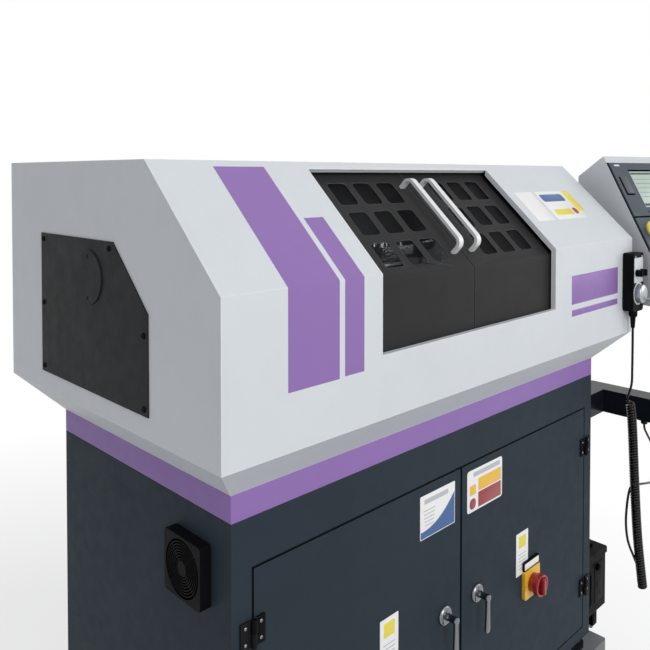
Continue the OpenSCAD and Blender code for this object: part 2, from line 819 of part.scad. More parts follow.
// Sliding doors
module bent(x0, x1, z0, s1, d) {
    prism_x([[y_door, z0], [y_door + d, z0], knee_at(recess_front + d, recess_slope + d), slp(s1, recess_slope + d),
        slp(s1, recess_slope), knee_at(recess_front, recess_slope)], x0, x1);
}
module window_places(m) {
    for (i = [-1:1], j = [-1:1]) translate([m + i * window_pitch_x, window_mid + j * window_pitch_s, 0]) children();
}
module sliding_door(x0, x1, m) {
    color([0.22, 0.22, 0.225]) difference() {
        union() {
            bent(x0, x1, z_door, door_top, door_sheet);
            bent(x0, x0 + door_sheet, z_door + 16, door_top - 32, door_fold);
            bent(x1 - door_sheet, x1, z_door + 16, door_top - 32, door_fold);
        }
        on_slope() window_places(m) translate([0, 0, -recess_slope - door_sheet - 1]) linear_extrude(door_sheet + 2)
            rrect(window_width, window_height, window_r);
    }
}
module window_pane(m) {
    w = 2 * window_pitch_x + window_width + 2 * pane_lap;
    h = 2 * window_pitch_s + window_height + 2 * pane_lap;
    z0 = -recess_slope - door_sheet - pane_gap - pane_thick;
    color([0.1, 0.1, 0.12, 0.5]) on_slope() translate([m - w / 2, window_mid - h / 2, z0]) cube([w, h, pane_thick]);
}
module bow(l, h, r, b) {
    for (i = [-1, 1]) {
        translate([i * (l - b) / 2 - b / 2, 0]) square([b, h - r + 0.5]);
        translate([i * (l / 2 - r), h - r]) intersection() {
            difference() {
                circle(r);
                circle(r - b);
            }
            translate([i > 0 ? 0 : -r, 0]) square(r);
        }
    }
    translate([-l / 2 + r - 0.5, h - b]) square([l - 2 * r + 1, b]);
}
module pull_handle(x) {
    color([0.9, 0.9, 0.9]) on_slope() translate([x - handle_width / 2, window_mid, -recess_slope]) rotate([90, 0, 90])
        linear_extrude(handle_width) bow(handle_length, handle_reach, handle_bend, handle_bar);
}
module left_sliding_door() { sliding_door(opening_left - door_overlap, split - door_gap / 2, split - window_left); }
module left_window_pane() { window_pane(split - window_left); }
module left_pull_handle() { pull_handle(split - handle_out); }
module right_sliding_door() { sliding_door(split + door_gap / 2, opening_right + door_overlap, split + window_right); }
module right_window_pane() { window_pane(split + window_right); }
module right_pull_handle() { pull_handle(split + handle_out); }
module door_rails() {
    w = rail_wall;
    x0 = -half_l + enclosure_sheet;
    x1 = half_l - enclosure_sheet;
    y0 = y_front + enclosure_sheet;
    y1 = y_door - rail_gap;
    y2 = y_door + door_sheet + rail_gap;
    z0 = z_door - rail_gap;
    z1 = z0 + rail_lip;
    d0 = recess_slope + door_sheet + rail_gap;
    d1 = d0 + 2 * w;
    e = slp(door_top + 6, d0);
    zt = z_top - enclosure_sheet;
    color([0.6, 0.62, 0.63]) {
        prism_x([[y0, z0 - w], [y2 + w, z0 - w], [y2 + w, z1], [y2, z1], [y2, z0], [y1, z0], [y1, z1],
            [y1 - w, z1], [y1 - w, z0], [y0, z0]], x0, x1);
        prism_x([slp(door_top - 24, d0), e, [e[0], zt], [e[0] + w, zt],
            meet(slp(0, d1), su, [e[0] + w, 0], [0, 1]), slp(door_top - 24, d1)], x0, x1);
    }
}

// Cabinet doors
module leaf(s, z, x, up) {
    h = hinge_height / 2;
    g = knuckle_gap / 2;
    xe = x + s * leaf_width;
    xs = x + s * (knuckle_r + leaf_clear);
    xc = x + s * (knuckle_r + 2 * leaf_clear);
    z0 = up ? z + g : z - h;
    box(min(xs, xe), max(xs, xe), cab_front - leaf_thick, cab_front, z - h, z + h);
    difference() {
        union() {
            translate([x, pin_y, z0]) cylinder(r = knuckle_r, h = h - g);
            box(min(x, xc), max(x, xc), cab_front - leaf_thick, cab_front - 0.5, z0, z0 + h - g);
        }
        if (up) translate([x, pin_y, z - 1]) cylinder(r = hinge_pin_r + run_gap, h = h + 2);
    }
    if (!up) translate([x, pin_y, z - h + 1]) cylinder(r = hinge_pin_r, h = 2 * h - 2);
}
module hinge_pair(s, x, up) {
    for (z = [cabdoor_z1 - hinge_upper, cabdoor_z0 + hinge_lower]) leaf(s, z, x, up);
}
module cabinet_hinges() {
    color([0.08, 0.08, 0.08]) {
        hinge_pair(-1, cabdoor_left, false);
        hinge_pair(1, cabdoor_right, false);
    }
}
module cabinet_door(x0, x1, lx, sw) {
    color([0.2, 0.22, 0.25]) difference() {
        box(x0, x1, cab_front, cab_front + cabdoor_thick, cabdoor_z0 + cabdoor_gap, cabdoor_z1 - cabdoor_gap);
        box(x0 + cabdoor_sheet, x1 - cabdoor_sheet, cab_front + cabdoor_sheet, cab_front + cabdoor_thick + 1,
            cabdoor_z0 + cabdoor_gap + cabdoor_sheet, cabdoor_z1 - cabdoor_gap - cabdoor_sheet);
        rod_y(lx, cab_front - 1, cab_front + cabdoor_sheet + 1, latch_z, shaft_r + sleeve_wall);
        if (sw) rod_y(switch_x, cab_front - 1, cab_front + cabdoor_sheet + 1, switch_zc, switch_body + slide_gap);
    }
}
module left_cabinet_door() {
    cabinet_door(cabdoor_left + cabdoor_gap, cabdoor_split - cabdoor_gap / 2, cabdoor_split - latch_out, false);
    color([0.08, 0.08, 0.08]) hinge_pair(1, cabdoor_left, true);
}
module right_cabinet_door() {
    cabinet_door(cabdoor_split + cabdoor_gap / 2, cabdoor_right - cabdoor_gap, cabdoor_split + latch_out, true);
    color([0.08, 0.08, 0.08]) hinge_pair(-1, cabdoor_right, true);
}
module latch_rose(x) {
    y1 = cab_front + cabdoor_sheet + sleeve_reach;
    color([0.75, 0.76, 0.78]) difference() {
        union() {
            rod_y(x, cab_front - rose_thick, cab_front, latch_z, rose_r);
            rod_y(x, cab_front - 1, y1, latch_z, shaft_r + sleeve_wall);
        }
        rod_y(x, cab_front - rose_thick - 1, y1 + 1, latch_z, shaft_r + run_gap);
    }
}
module latch_lever(x) {
    y1 = cab_front - rose_thick - slide_gap;
    y0 = y1 - hub_reach;
    w = lever_width / 2;
    color([0.78, 0.79, 0.8]) {
        rod_y(x, y0, y1, latch_z, hub_r);
        rod_y(x, y1 - 1, y_cam + cam_thick, latch_z, shaft_r);
        box(x - w, x + w, y0, y0 + lever_thick, latch_z - lever_length, latch_z);
        rod_y(x, y0, y0 + lever_thick, latch_z - lever_length, w);
        box(x - cam_width / 2, x + cam_width / 2, y_cam, y_cam + cam_thick, latch_z - cam_width / 2,
            latch_z + latch_out - frame_half + cam_bite);
    }
}
module left_latch_rose() { latch_rose(cabdoor_split - latch_out); }
module right_latch_rose() { latch_rose(cabdoor_split + latch_out); }
module left_latch_lever() { latch_lever(cabdoor_split - latch_out); }
module right_latch_lever() { latch_lever(cabdoor_split + latch_out); }
module switch_plate() {
    y0 = cab_front - switch_thick;
    h = switch_side / 2;
    color([0.94, 0.75, 0.2]) difference() {
        union() {
            translate([switch_x, cab_front, switch_zc]) rotate([90, 0, 0]) linear_extrude(switch_thick)
                rrect(switch_side, switch_side, 5);
            box(switch_x - h, switch_x + h, y0 + 3, cab_front, switch_zc, switch_zc + h + switch_strip);
            rod_y(switch_x, cab_front - 1, cab_front + switch_depth, switch_zc, switch_body);
        }
        rod_y(switch_x, y0 - 1, cab_front + switch_depth - 10, switch_zc, shaft_r + run_gap);
    }
}
module switch_knob() {
    y1 = cab_front - switch_thick - slide_gap;
    y0 = y1 - switch_collar;
    w = grip_width / 2;
    h = switch_r * 0.92;
    color([0.7, 0.15, 0.2]) {
        rod_y(switch_x, y0, y1, switch_zc, switch_r);
        rod_y(switch_x, y1 - 1, cab_front + switch_depth - 15, switch_zc, shaft_r);
        prism_y([[switch_x - w, switch_zc - h], [switch_x + w, switch_zc - h], [switch_x + w * 0.72, switch_zc],
            [switch_x + w, switch_zc + h], [switch_x - w, switch_zc + h], [switch_x - w * 0.72, switch_zc]],
            y0 - switch_grip, y0 + 1);
    }
}

// Fan
module fan_guard() {
    x0 = -half_c - fan_thick;
    w = ring_width / 2;
    color([0.07, 0.07, 0.07]) {
        difference() {
            translate([x0, fan_y, fan_zc]) rotate([90, 0, 90]) linear_extrude(fan_thick)
                rrect(fan_side, fan_side, 8);
            rod_x(x0 - 1, -half_c + 1, fan_y, fan_zc, fan_r);
        }
        for (r = [1:4]) difference() {
            rod_x(x0, x0 + ring_depth, fan_y, fan_zc, fan_r * r / 5 + w);
            rod_x(x0 - 1, x0 + ring_depth + 1, fan_y, fan_zc, fan_r * r / 5 - w);
        }
        rod_x(x0, x0 + ring_depth, fan_y, fan_zc, fan_r / 5 + 1);
        for (a = [45, 135]) translate([x0, fan_y, fan_zc]) rotate([a, 0, 0]) translate([0, -fan_r - 2, -w])
            cube([ring_depth, 2 * fan_r + 4, ring_width]);
    }
}
module fan_frame() {
    x0 = -half_c + cabinet_sheet;
    x1 = x0 + fan_depth;
    color([0.1, 0.1, 0.1]) {
        difference() {
            translate([x0, fan_y, fan_zc]) rotate([90, 0, 90]) linear_extrude(fan_depth)
                rrect(fan_side - 4, fan_side - 4, 6);
            rod_x(x0 - 1, x1 + 1, fan_y, fan_zc, fan_r + 2);
        }
        difference() {
            rod_x(x1 - 8, x1, fan_y, fan_zc, fan_hub);
            rod_x(x1 - 9, x1 - 3, fan_y, fan_zc, fan_axle + run_gap);
        }
        for (a = [0, 90]) translate([x1 - 3, fan_y, fan_zc]) rotate([a, 0, 0]) translate([0, -fan_r - 3, -3])
            cube([3, 2 * fan_r + 6, 6]);
    }
}
module fan_impeller() {
    x1 = -half_c + cabinet_sheet + fan_depth;
    color([0.15, 0.15, 0.15]) {
        rod_x(x1 - 30, x1 - 8 - slide_gap, fan_y, fan_zc, fan_hub);
        rod_x(x1 - 9, x1 - 3.5, fan_y, fan_zc, fan_axle);
        for (a = [0:60:300]) translate([x1 - 19, fan_y, fan_zc]) rotate([a, 0, 0])
            translate([0, 0, fan_hub - 2]) rotate([0, 0, 40]) translate([-10, -1, 0])
            cube([20, 2, fan_r - fan_hub - 2]);
    }
}

// Lubricator
module lubricator_tank() {
    x1 = half_c + lub_length;
    y1 = lub_y0 + lub_depth;
    w = lub_wall;
    color([0.06, 0.06, 0.06]) {
        difference() {
            box(half_c, x1, lub_y0, y1, lub_z0, lub_z0 + lub_height);
            box(half_c + w, x1 - w, lub_y0 + w, y1 - w, lub_z0 + w, lub_z0 + lub_height + 1);
        }
        translate([half_c + lub_length / 4, (lub_y0 + y1) / 2, lub_z0 - 12]) cylinder(r = lub_outlet, h = 13);
    }
}
module lubricator_head() {
    z0 = lub_z0 + lub_height;
    z1 = z0 + lub_head;
    x1 = half_c + lub_length + lub_rim;
    color([0.09, 0.09, 0.09]) {
        prism_y([[half_c, z0], [x1, z0], [x1, z1 - 6], [x1 - 6, z1], [half_c, z1]], lub_y0 - lub_rim,
            lub_y0 + lub_depth + lub_rim);
        translate([x1 - 2 * lub_cap, lub_y0 + lub_depth / 2, z1 - 1]) {
            cylinder(r = lub_cap, h = 9);
            cylinder(r = lub_cap * 0.6, h = 14);
        }
    }
}

// Inside the cabinet
module electrical_panel() {
    y2 = -cab_front - cabinet_sheet;
    y1 = y2 - elec_standoff;
    y0 = y1 - elec_plate;
    z1 = z_tray - elec_top;
    z0 = z1 - elec_height;
    zd = z1 - elec_margin;
    e = elec_width / 2;
    m = elec_margin;
    color([0.75, 0.76, 0.76]) {
        box(-e, e, y0, y1, z0, z1);
        for (x = [m - e, e - m], z = [z0 + m, z1 - m / 2]) rod_y(x, y1 - 1, y2, z, 8);
        for (i = [0:3]) translate([m - e + i * drive_pitch, 0, 0]) difference() {
            box(0, drive_width, y0 - drive_depth, y0 + 1, zd - drive_height, zd);
            for (k = [1:5]) box(k * drive_width / 6 - 4, k * drive_width / 6 + 4, y0 - drive_depth + 8, y0 - 8,
                zd - 6, zd + 1);
        }
        for (i = [0:5]) translate([m + i * relay_pitch, 0, 0]) {
            box(0, relay_width, y0 - relay_depth, y0 + 1, zd - relay_height, zd);
            box(relay_width / 4, relay_width * 3 / 4, y0 - relay_depth - 8, y0 - relay_depth + 1,
                zd - relay_height * 0.7, zd - relay_height * 0.3);
        }
        box(m, m + 5 * relay_pitch + relay_width, y0 - terminal_depth, y0 + 1, z0 + m, z0 + m + terminal_height);
        box(m - e, -m, y0 - 2 * terminal_depth, y0 + 1, z0 + m, z0 + m + 2 * terminal_height);
    }
}
module coolant_tank() {
    x1 = tank_left + tank_length;
    y0 = cab_front + tank_back;
    y1 = y0 + tank_depth;
    z0 = cabinet_base + cabinet_sheet;
    z1 = z0 + tank_height;
    w = tank_wall;
    color([0.55, 0.57, 0.58]) {
        difference() {
            box(tank_left, x1, y0, y1, z0, z1);
            box(tank_left + w, x1 - w, y0 + w, y1 - w, z0 + w, z1 - w);
        }
        translate([x1 - 2 * pump_r, y0 + 2 * pump_r, z1 - 1]) {
            cylinder(r = pump_r * 1.3, h = 13);
            cylinder(r = pump_r, h = pump_height);
            translate([0, 0, pump_height - 1]) cylinder(r = pump_r * 0.8, h = 16);
        }
    }
}

// Machine
module bed() {
    u = way_under;
    zw = z_bed - way_thick;
    z0 = z_bed - bed_beam;
    color([0.35, 0.37, 0.38]) difference() {
        union() {
            prism_x([[bed_y0, z_bed], [bed_y0, zw], [bed_y0 + u, zw - u], [bed_y0 + u, z0 + 2 * u], [bed_y0 + 2, z0 + u],
                [bed_y0 + 2, z0], [bed_y1 - 2, z0], [bed_y1 - 2, z0 + u], [bed_y1 - u, z0 + 2 * u], [bed_y1 - u, zw - u],
                [bed_y1, zw], [bed_y1, z_bed]], bed_left, bed_right);
            for (x = [bed_left, bed_right - bed_foot])
                box(x, x + bed_foot, bed_y0 + 20, bed_y1 - 20, z_tray + tray_sheet, z0 + 1);
            for (x = [face_x - 80, bed_right - 35])
                box(x, x + 30, screw_y - 3 * screw_r, bed_y0 + u + 4, screw_z - 3 * screw_r, screw_z + 2 * screw_r);
        }
        box(bed_left + head_length, bed_right + 1, bed_y0 + way_width, bed_y1 - way_width, z0 + 30, z_bed + 1);
        rod_x(face_x - 90, bed_right + 1, screw_y, screw_z, screw_r + run_gap);
    }
}
module headstock() {
    x1 = bed_left + head_length;
    r = head_round;
    z1 = z_spindle + head_over;
    color([0.8, 0.82, 0.83]) difference() {
        union() {
            box(bed_left, x1, bed_y0, bed_y1, z_bed, z1 - r);
            box(bed_left, x1, bed_y0 + r, bed_y1 - r, z_bed, z1);
            for (y = [bed_y0 + r, bed_y1 - r]) rod_x(bed_left, x1, y, z1 - r, r);
            rod_x(bed_left - cap_thick, bed_left + 1, spindle_y, z_spindle, spindle_r + nose_out);
        }
        rod_x(bed_left - cap_thick - 1, x1 + 1, spindle_y, z_spindle, spindle_r + run_gap);
    }
}
module spindle() {
    color([0.7, 0.71, 0.72]) difference() {
        union() {
            rod_x(pulley_x - 20, chuck_x, spindle_y, z_spindle, spindle_r);
            rod_x(chuck_x - nose_length + 0.5, chuck_x, spindle_y, z_spindle, spindle_r + nose_out);
            rod_x(pulley_x, pulley_x + pulley_width, spindle_y, z_spindle, pulley_r);
        }
        rod_x(pulley_x - 21, chuck_x + 1, spindle_y, z_spindle, spindle_bore);
    }
}
module jaw_shape(g) {
    w = jaw_width / 2 + g;
    box(face_x - jaw_deep - g, face_x + jaw_reach, -w, w, jaw_in - (g > 0 ? 12 : 0), jaw_in + jaw_long + (g > 0 ? 30 : 0));
}
module at_jaw(a) {
    translate([0, spindle_y, z_spindle]) rotate([a, 0, 0]) children();
}
module chuck_body() {
    r = chuck_r;
    l = chuck_length;
    c = chuck_edge;
    b = spindle_bore;
    color([0.62, 0.63, 0.65]) difference() {
        translate([chuck_x, spindle_y, z_spindle]) rotate([0, 90, 0]) rotate_extrude($fn = 96)
            polygon([[b, 0], [r - 3 * c, 0], [r - 3 * c, 3 * c], [r, 3 * c], [r, l * 0.36], [r - c, l * 0.38],
                [r - c, l * 0.46], [r, l * 0.48], [r, l - c], [r - c, l], [b + c, l], [b, l - c]]);
        for (a = [0, 120, 240]) at_jaw(a) jaw_shape(slide_gap);
        for (a = [60, 180, 300]) at_jaw(a) translate([face_x - l / 4, 0, r - 3 * socket_r])
            cylinder(r = socket_r, h = 4 * socket_r);
    }
}
module chuck_jaw(a) {
    s = jaw_long / 3;
    x = jaw_reach / 3;
    color([0.75, 0.76, 0.78]) at_jaw(a) difference() {
        jaw_shape(0);
        for (k = [1, 2]) box(face_x + jaw_reach - k * x, face_x + jaw_reach + 1, -jaw_width, jaw_width,
            jaw_in + k * s, jaw_in + jaw_long + 1);
    }
}
module chuck_jaw_1() { chuck_jaw(0); }
module chuck_jaw_2() { chuck_jaw(120); }
module chuck_jaw_3() { chuck_jaw(240); }
module spindle_motor() {
    x1 = bed_left + motor_length;
    r = motor_r;
    color([0.25, 0.27, 0.3]) difference() {
        union() {
            rod_x(bed_left, x1, motor_y, motor_z, r - 6);
            for (x = [bed_left, x1 - 30]) rod_x(x, x + 30, motor_y, motor_z, r);
            for (a = [0:30:330]) translate([bed_left + 29, motor_y, motor_z]) rotate([a, 0, 0])
                translate([0, -2, r - 14]) cube([motor_length - 58, 4, 13]);
            box(bed_left - 12, bed_left, bed_y1 - 60, motor_y + r, motor_z - r, min(motor_z + r, z_bed - 5));
        }
        rod_x(bed_left - 13, bed_left + 50, motor_y, motor_z, motor_shaft + run_gap);
    }
}
module motor_pulley() {
    color([0.6, 0.61, 0.62]) {
        rod_x(pulley_x, pulley_x + pulley_width, motor_y, motor_z, motor_pulley_r);
        rod_x(pulley_x, bed_left + 45, motor_y, motor_z, motor_shaft);
    }
}
module belt_shape(a, h) {
    d = norm([motor_back, -motor_drop]);
    f = atan2(-motor_drop, motor_back);
    b = acos((pulley_r - motor_pulley_r) / d);
    r1 = pulley_r + a;
    r2 = motor_pulley_r + a;
    e = [cos(f + b), sin(f + b)];
    g = [cos(f - b), sin(f - b)];
    c = [motor_back, -motor_drop];
    cylinder(r = r1, h = h, $fn = 96);
    translate([c[0], c[1], 0]) cylinder(r = r2, h = h, $fn = 96);
    linear_extrude(h) polygon([[0, 0], (r1 - 0.02) * e, c + (r2 - 0.02) * e, c, c + (r2 - 0.02) * g, (r1 - 0.02) * g]);
}
module drive_belt() {
    w = pulley_width - 8;
    color([0.05, 0.05, 0.05]) translate([pulley_x + 4, spindle_y, z_spindle]) rotate([90, 0, 90]) difference() {
        belt_shape(slide_gap + belt_thick, w);
        translate([0, 0, -1]) belt_shape(slide_gap, w + 2);
    }
}
module feed_motor() {
    x0 = bed_right - 5;
    h = feed_side / 2;
    color([0.12, 0.12, 0.13]) difference() {
        union() {
            box(x0, x0 + 10, screw_y - h, min(screw_y + h, bed_y0 - 4), screw_z - h, screw_z + h);
            box(x0 + 9, x0 + feed_length, screw_y - h + 3, screw_y + h - 3, screw_z - h + 3, screw_z + h - 3);
            rod_x(x0 + feed_length - 1, x0 + feed_length + 24, screw_y, screw_z, h * 0.7);
        }
        rod_x(x0 - 1, x0 + 60, screw_y, screw_z, screw_r + run_gap);
    }
}
module feed_screw() {
    color([0.72, 0.73, 0.75]) rod_x(face_x - 78, bed_right + 50, screw_y, screw_z, screw_r);
}
module carriage() {
    x0 = carriage_x - carriage_length / 2;
    x1 = carriage_x + carriage_length / 2;
    z1 = z_saddle + carriage_thick;
    y0 = bed_y0 - carriage_front;
    w = rib_width / 2;
    color([0.4, 0.42, 0.43]) difference() {
        union() {
            box(x0, x1, y0, bed_y1, z_saddle, z1);
            box(carriage_x - w, carriage_x + w, y0 + 2, bed_y1, z1 - 1, z1 + rib_height);
            box(x0 + 40, x1 - 40, screw_y - 2.4 * screw_r, bed_y0 - 3, screw_z - 2.6 * screw_r, z_saddle + 1);
        }
        rod_x(x0 - 1, x1 + 1, screw_y, screw_z, screw_r + run_gap);
    }
}
module cross_slide() {
    z0 = z_cross;
    w = rib_width / 2 + slide_gap;
    cw = cross_width / 2;
    cl = cross_length / 2;
    color([0.5, 0.52, 0.53]) {
        difference() {
            box(carriage_x - cw, carriage_x + cw, turret_y - cl, turret_y + cl, z0, z0 + cross_thick);
            box(carriage_x - w, carriage_x + w, turret_y - cl - 1, turret_y + cl + 1, z0 - 1, z0 + rib_height);
        }
        translate([carriage_x, turret_y, z0 + cross_thick - 1]) {
            cylinder(r = turret_r, h = turret_base + 1);
            cylinder(r = turret_pin, h = turret_base + turret_height * 0.7);
        }
    }
}
module turret_head() {
    h = turret_side / 2;
    z0 = z_turret + slide_gap;
    z1 = z0 + turret_height;
    zt = z_spindle - tool_side;
    color([0.78, 0.79, 0.8]) translate([carriage_x, turret_y, 0]) difference() {
        union() {
            difference() {
                box(-h, h, -h, h, z0, z1);
                for (a = [0, 90, 180, 270]) rotate([0, 0, a])
                    box(-h - 1, -h + tool_side + 4, -h - 1, h + 1, zt, zt + tool_side + 8);
            }
            for (a = [0, 180]) rotate([0, 0, a])
                box(-h + 4, -h + 4 + tool_side, -h + 20, h + tool_reach, zt, zt + tool_side);
            translate([0, 0, z1 - 1]) cylinder(r = 20, h = 13);
            for (a = [0, 90, 180, 270], i = [-1, 1]) rotate([0, 0, a]) translate([2 * clamp_r - h, i * h / 3, z1 - 1])
                cylinder(r = clamp_r, h = 10);
        }
        translate([0, 0, z0 - 1]) cylinder(r = turret_pin + run_gap, h = turret_height * 0.75);
    }
}
module tailstock_body() {
    x1 = tail_x + tail_length;
    c = tail_column / 2;
    z1 = z_saddle + tail_base;
    color([0.75, 0.77, 0.78]) difference() {
        union() {
            box(tail_x, x1, bed_y0, bed_y1, z_saddle, z1);
            box(tail_x + 10, x1 - 10, spindle_y - c, spindle_y + c, z1 - 1, z_spindle);
            rod_x(tail_x, x1, spindle_y, z_spindle, tail_r);
            rod_x(x1 - 1, x1 + 14, spindle_y, z_spindle, tail_r / 2);
            difference() {
                rod_x(x1 + 10, x1 + 22, spindle_y, z_spindle, tail_wheel);
                for (a = [0, 120, 240]) at_jaw(a) rod_x(x1 + 9, x1 + 23, 0, tail_wheel * 0.62, tail_wheel * 0.2);
            }
            at_jaw(60) rod_x(x1 + 20, x1 + 52, 0, tail_wheel * 0.78, 7);
        }
        rod_x(tail_x - 1, x1 - 20, spindle_y, z_spindle, quill_r + run_gap);
    }
}
module tailstock_quill() {
    x0 = tail_x - 10;
    color([0.72, 0.73, 0.75]) {
        rod_x(x0, quill_x1, spindle_y, z_spindle, quill_r);
        translate([x0 + 10 - quill_reach, spindle_y, z_spindle]) rotate([0, 90, 0])
            cylinder(r1 = 1, r2 = quill_r * 0.8, h = quill_reach - 9);
    }
}

// Control arm and panel
module control_arm() {
    t = tube / 2;
    i = t - tube_wall;
    w = tube_wall;
    f = t + flange_out;
    z0 = arm_z - tube;
    xf = half_c + flange_thick;
    color([0.16, 0.17, 0.18]) {
        difference() {
            union() {
                box(half_c, post_x + t, arm_y - t, arm_y + t, z0, arm_z);
                box(post_x - t, post_x + t, post_y - t, arm_y + t, z0, arm_z);
                box(post_x - t, post_x + t, post_y - t, post_y + t, z0, post_top - 8);
                box(half_c, xf, arm_y - f, arm_y + f, z0 - flange_out, arm_z + flange_out);
            }
            box(xf, post_x + i, arm_y - i, arm_y + i, z0 + w, arm_z - w);
            box(post_x - i, post_x + i, post_y - i, arm_y + i, z0 + w, arm_z - w);
            box(post_x - i, post_x + i, post_y - i, post_y + i, z0 + w, post_top - 9);
        }
        for (y = [-1, 1], z = [z0 - flange_out / 2, arm_z + flange_out / 2])
            rod_x(xf - 1, xf + 6, arm_y + y * (f - flange_out / 2), z, 8);
        translate([post_x, post_y, post_top - 9]) cylinder(r = swivel_r, h = 9);
        translate([post_x, post_y, post_top - 9]) cylinder(r = swivel_pin, h = pin_length);
        translate([post_x, post_y + tube, z0 - gland_length]) cylinder(r = gland_r, h = gland_length + 1);
    }
}
module panel_housing() {
    color([0.72, 0.73, 0.74]) difference() {
        union() {
            at_post() difference() {
                prism_x(panel_yz, -panel_left, panel_right);
                prism_x(inset(panel_yz, housing_sheet), -panel_left + housing_sheet, panel_right - housing_sheet);
            }
            translate([post_x, post_y, z_panel]) cylinder(r = swivel_pin + 9, h = pin_length);
            translate([post_x, post_y, post_top + slide_gap]) cylinder(r = swivel_r, h = swivel_thick - slide_gap + 1);
        }
        translate([post_x, post_y, post_top - 1]) cylinder(r = swivel_pin + run_gap, h = pin_length - 4);
    }
}
module operator_unit() {
    x0 = -panel_left + panel_margin;
    x1 = panel_right - panel_margin;
    sx = (x0 + x1) / 2 - 40;
    color([0.22, 0.24, 0.27]) on_face() difference() {
        translate([x0, -panel_margin - unit_height, 0]) cube([x1 - x0, unit_height, plate_thick]);
        translate([sx - screen_width / 2, -panel_margin - unit_height / 2 - screen_height / 2, plate_thick - 2]) cube([screen_width, screen_height, 3]);
    }
}
module stop_place() {
    on_face() translate([-panel_left + panel_margin + 50, -panel_margin - unit_height - 6 - keys_height / 2, 0]) children();
}
module panel_keys() {
    x0 = -panel_left + panel_margin;
    x1 = panel_right - panel_margin;
    color([0.24, 0.26, 0.29]) difference() {
        union() {
            on_face() translate([x0, -panel_margin - unit_height - 6 - keys_height, 0]) cube([x1 - x0, keys_height, plate_thick]);
            stop_place() cylinder(r = collar_r, h = plate_thick + 8);
        }
        stop_place() translate([0, 0, 1]) cylinder(r = 10 + run_gap, h = plate_thick + 20);
    }
}
module stop_button() {
    color([0.8, 0.1, 0.1]) stop_place() {
        translate([0, 0, 2 + stop_travel]) cylinder(r = 10, h = plate_thick + 10 + stop_travel);
        translate([0, 0, plate_thick + 8 + stop_travel + 0.5]) cylinder(r = stop_r, h = 13);
    }
}

// Pendant
module pendant_hook() {
    color([0.3, 0.3, 0.32]) box(pend_x + 12, pend_x + pendant_width - 12, y_front - hook_thick, y_front, pend_z + 60, pend_z + pendant_height - 20);
}
module pendant_body() {
    xm = pend_x + pendant_width / 2;
    color([0.07, 0.07, 0.07]) difference() {
        union() {
            translate([xm, y_front - hook_thick, pend_z + pendant_height / 2]) rotate([90, 0, 0]) linear_extrude(pendant_depth) rrect(pendant_width, pendant_height, 10);
            translate([xm, pend_y + pendant_depth / 2, pend_z - gland_drop]) cylinder(r1 = 6, r2 = 10, h = gland_drop + 1);
        }
        rod_y(xm, pend_y - 1, pend_y + 18, pend_z + wheel_z, wheel_pin + run_gap);
        for (i = [-1, 1]) rod_y(xm + i * knob_out, pend_y - 1, pend_y + 12, pend_z + knob_z, knob_pin + run_gap);
    }
}
module pendant_wheel() {
    x = pend_x + pendant_width / 2;
    z = pend_z + wheel_z;
    color([0.75, 0.76, 0.77]) {
        rod_y(x, pend_y - 11, pend_y - slide_gap, z, wheel_r);
        rod_y(x, pend_y - 1, pend_y + 16, z, wheel_pin);
        rod_y(x, pend_y - 30, pend_y - 10, z + wheel_r - 9, 6);
    }
}
module selector(i) {
    x = pend_x + pendant_width / 2 + i * knob_out;
    z = pend_z + knob_z;
    color([0.1, 0.1, 0.1]) {
        rod_y(x, pend_y - 14, pend_y - slide_gap, z, knob_r);
        rod_y(x, pend_y - 1, pend_y + 10, z, knob_pin);
        box(x - 2.5, x + 2.5, pend_y - 20, pend_y - 13, z - knob_r + 1, z + knob_r - 1);
    }
}
module axis_selector() { selector(-1); }
module rate_selector() { selector(1); }
module cord_lead() {
    color([0.05, 0.05, 0.05]) tube(smooth([for (p = lead_route) cord_top + p], 4), cord_r, 8);
}
module cord_coil() {
    color([0.05, 0.05, 0.05]) tube(smooth([for (p = coil_route) cord_top + p], 4), coil_r, 12);
}
module cord_tail() {
    p = concat([for (p = tail_route) cord_top + p], [for (p = tail_end) cord_end + p]);
    color([0.05, 0.05, 0.05]) tube(smooth(p, 3), cord_r, 8);
}

cabinet_shell();
foot_pads();
levelling_legs();
chip_tray();
enclosure_shell();
side_cover();
bar_hole_cover();
door_rails();
cabinet_hinges();
fan_guard();
fan_frame();
fan_impeller();
lubricator_tank();
lubricator_head();
electrical_panel();
coolant_tank();
bed();
headstock();
spindle_motor();
drive_belt();
feed_motor();
control_arm();
pendant_hook();
pendant_body();
cord_lead();
cord_coil();
cord_tail();
left_sliding_door();
left_window_pane();
left_pull_handle();
right_sliding_door();
right_window_pane();
right_pull_handle();
left_cabinet_door();
left_latch_rose();
left_latch_lever();
right_cabinet_door();
right_latch_rose();
right_latch_lever();
switch_plate();
switch_knob();
spindle();
motor_pulley();
chuck_body();
chuck_jaw_1();
chuck_jaw_2();
chuck_jaw_3();
carriage();
cross_slide();
turret_head();
feed_screw();
tailstock_body();
tailstock_quill();
panel_housing();
operator_unit();
panel_keys();
stop_button();
pendant_wheel();
axis_selector();
rate_selector();
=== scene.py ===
"""Looks of the CNC turning lathe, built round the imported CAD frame."""
import json
import math

import bmesh
import bpy
from mathutils import Matrix, Vector as V


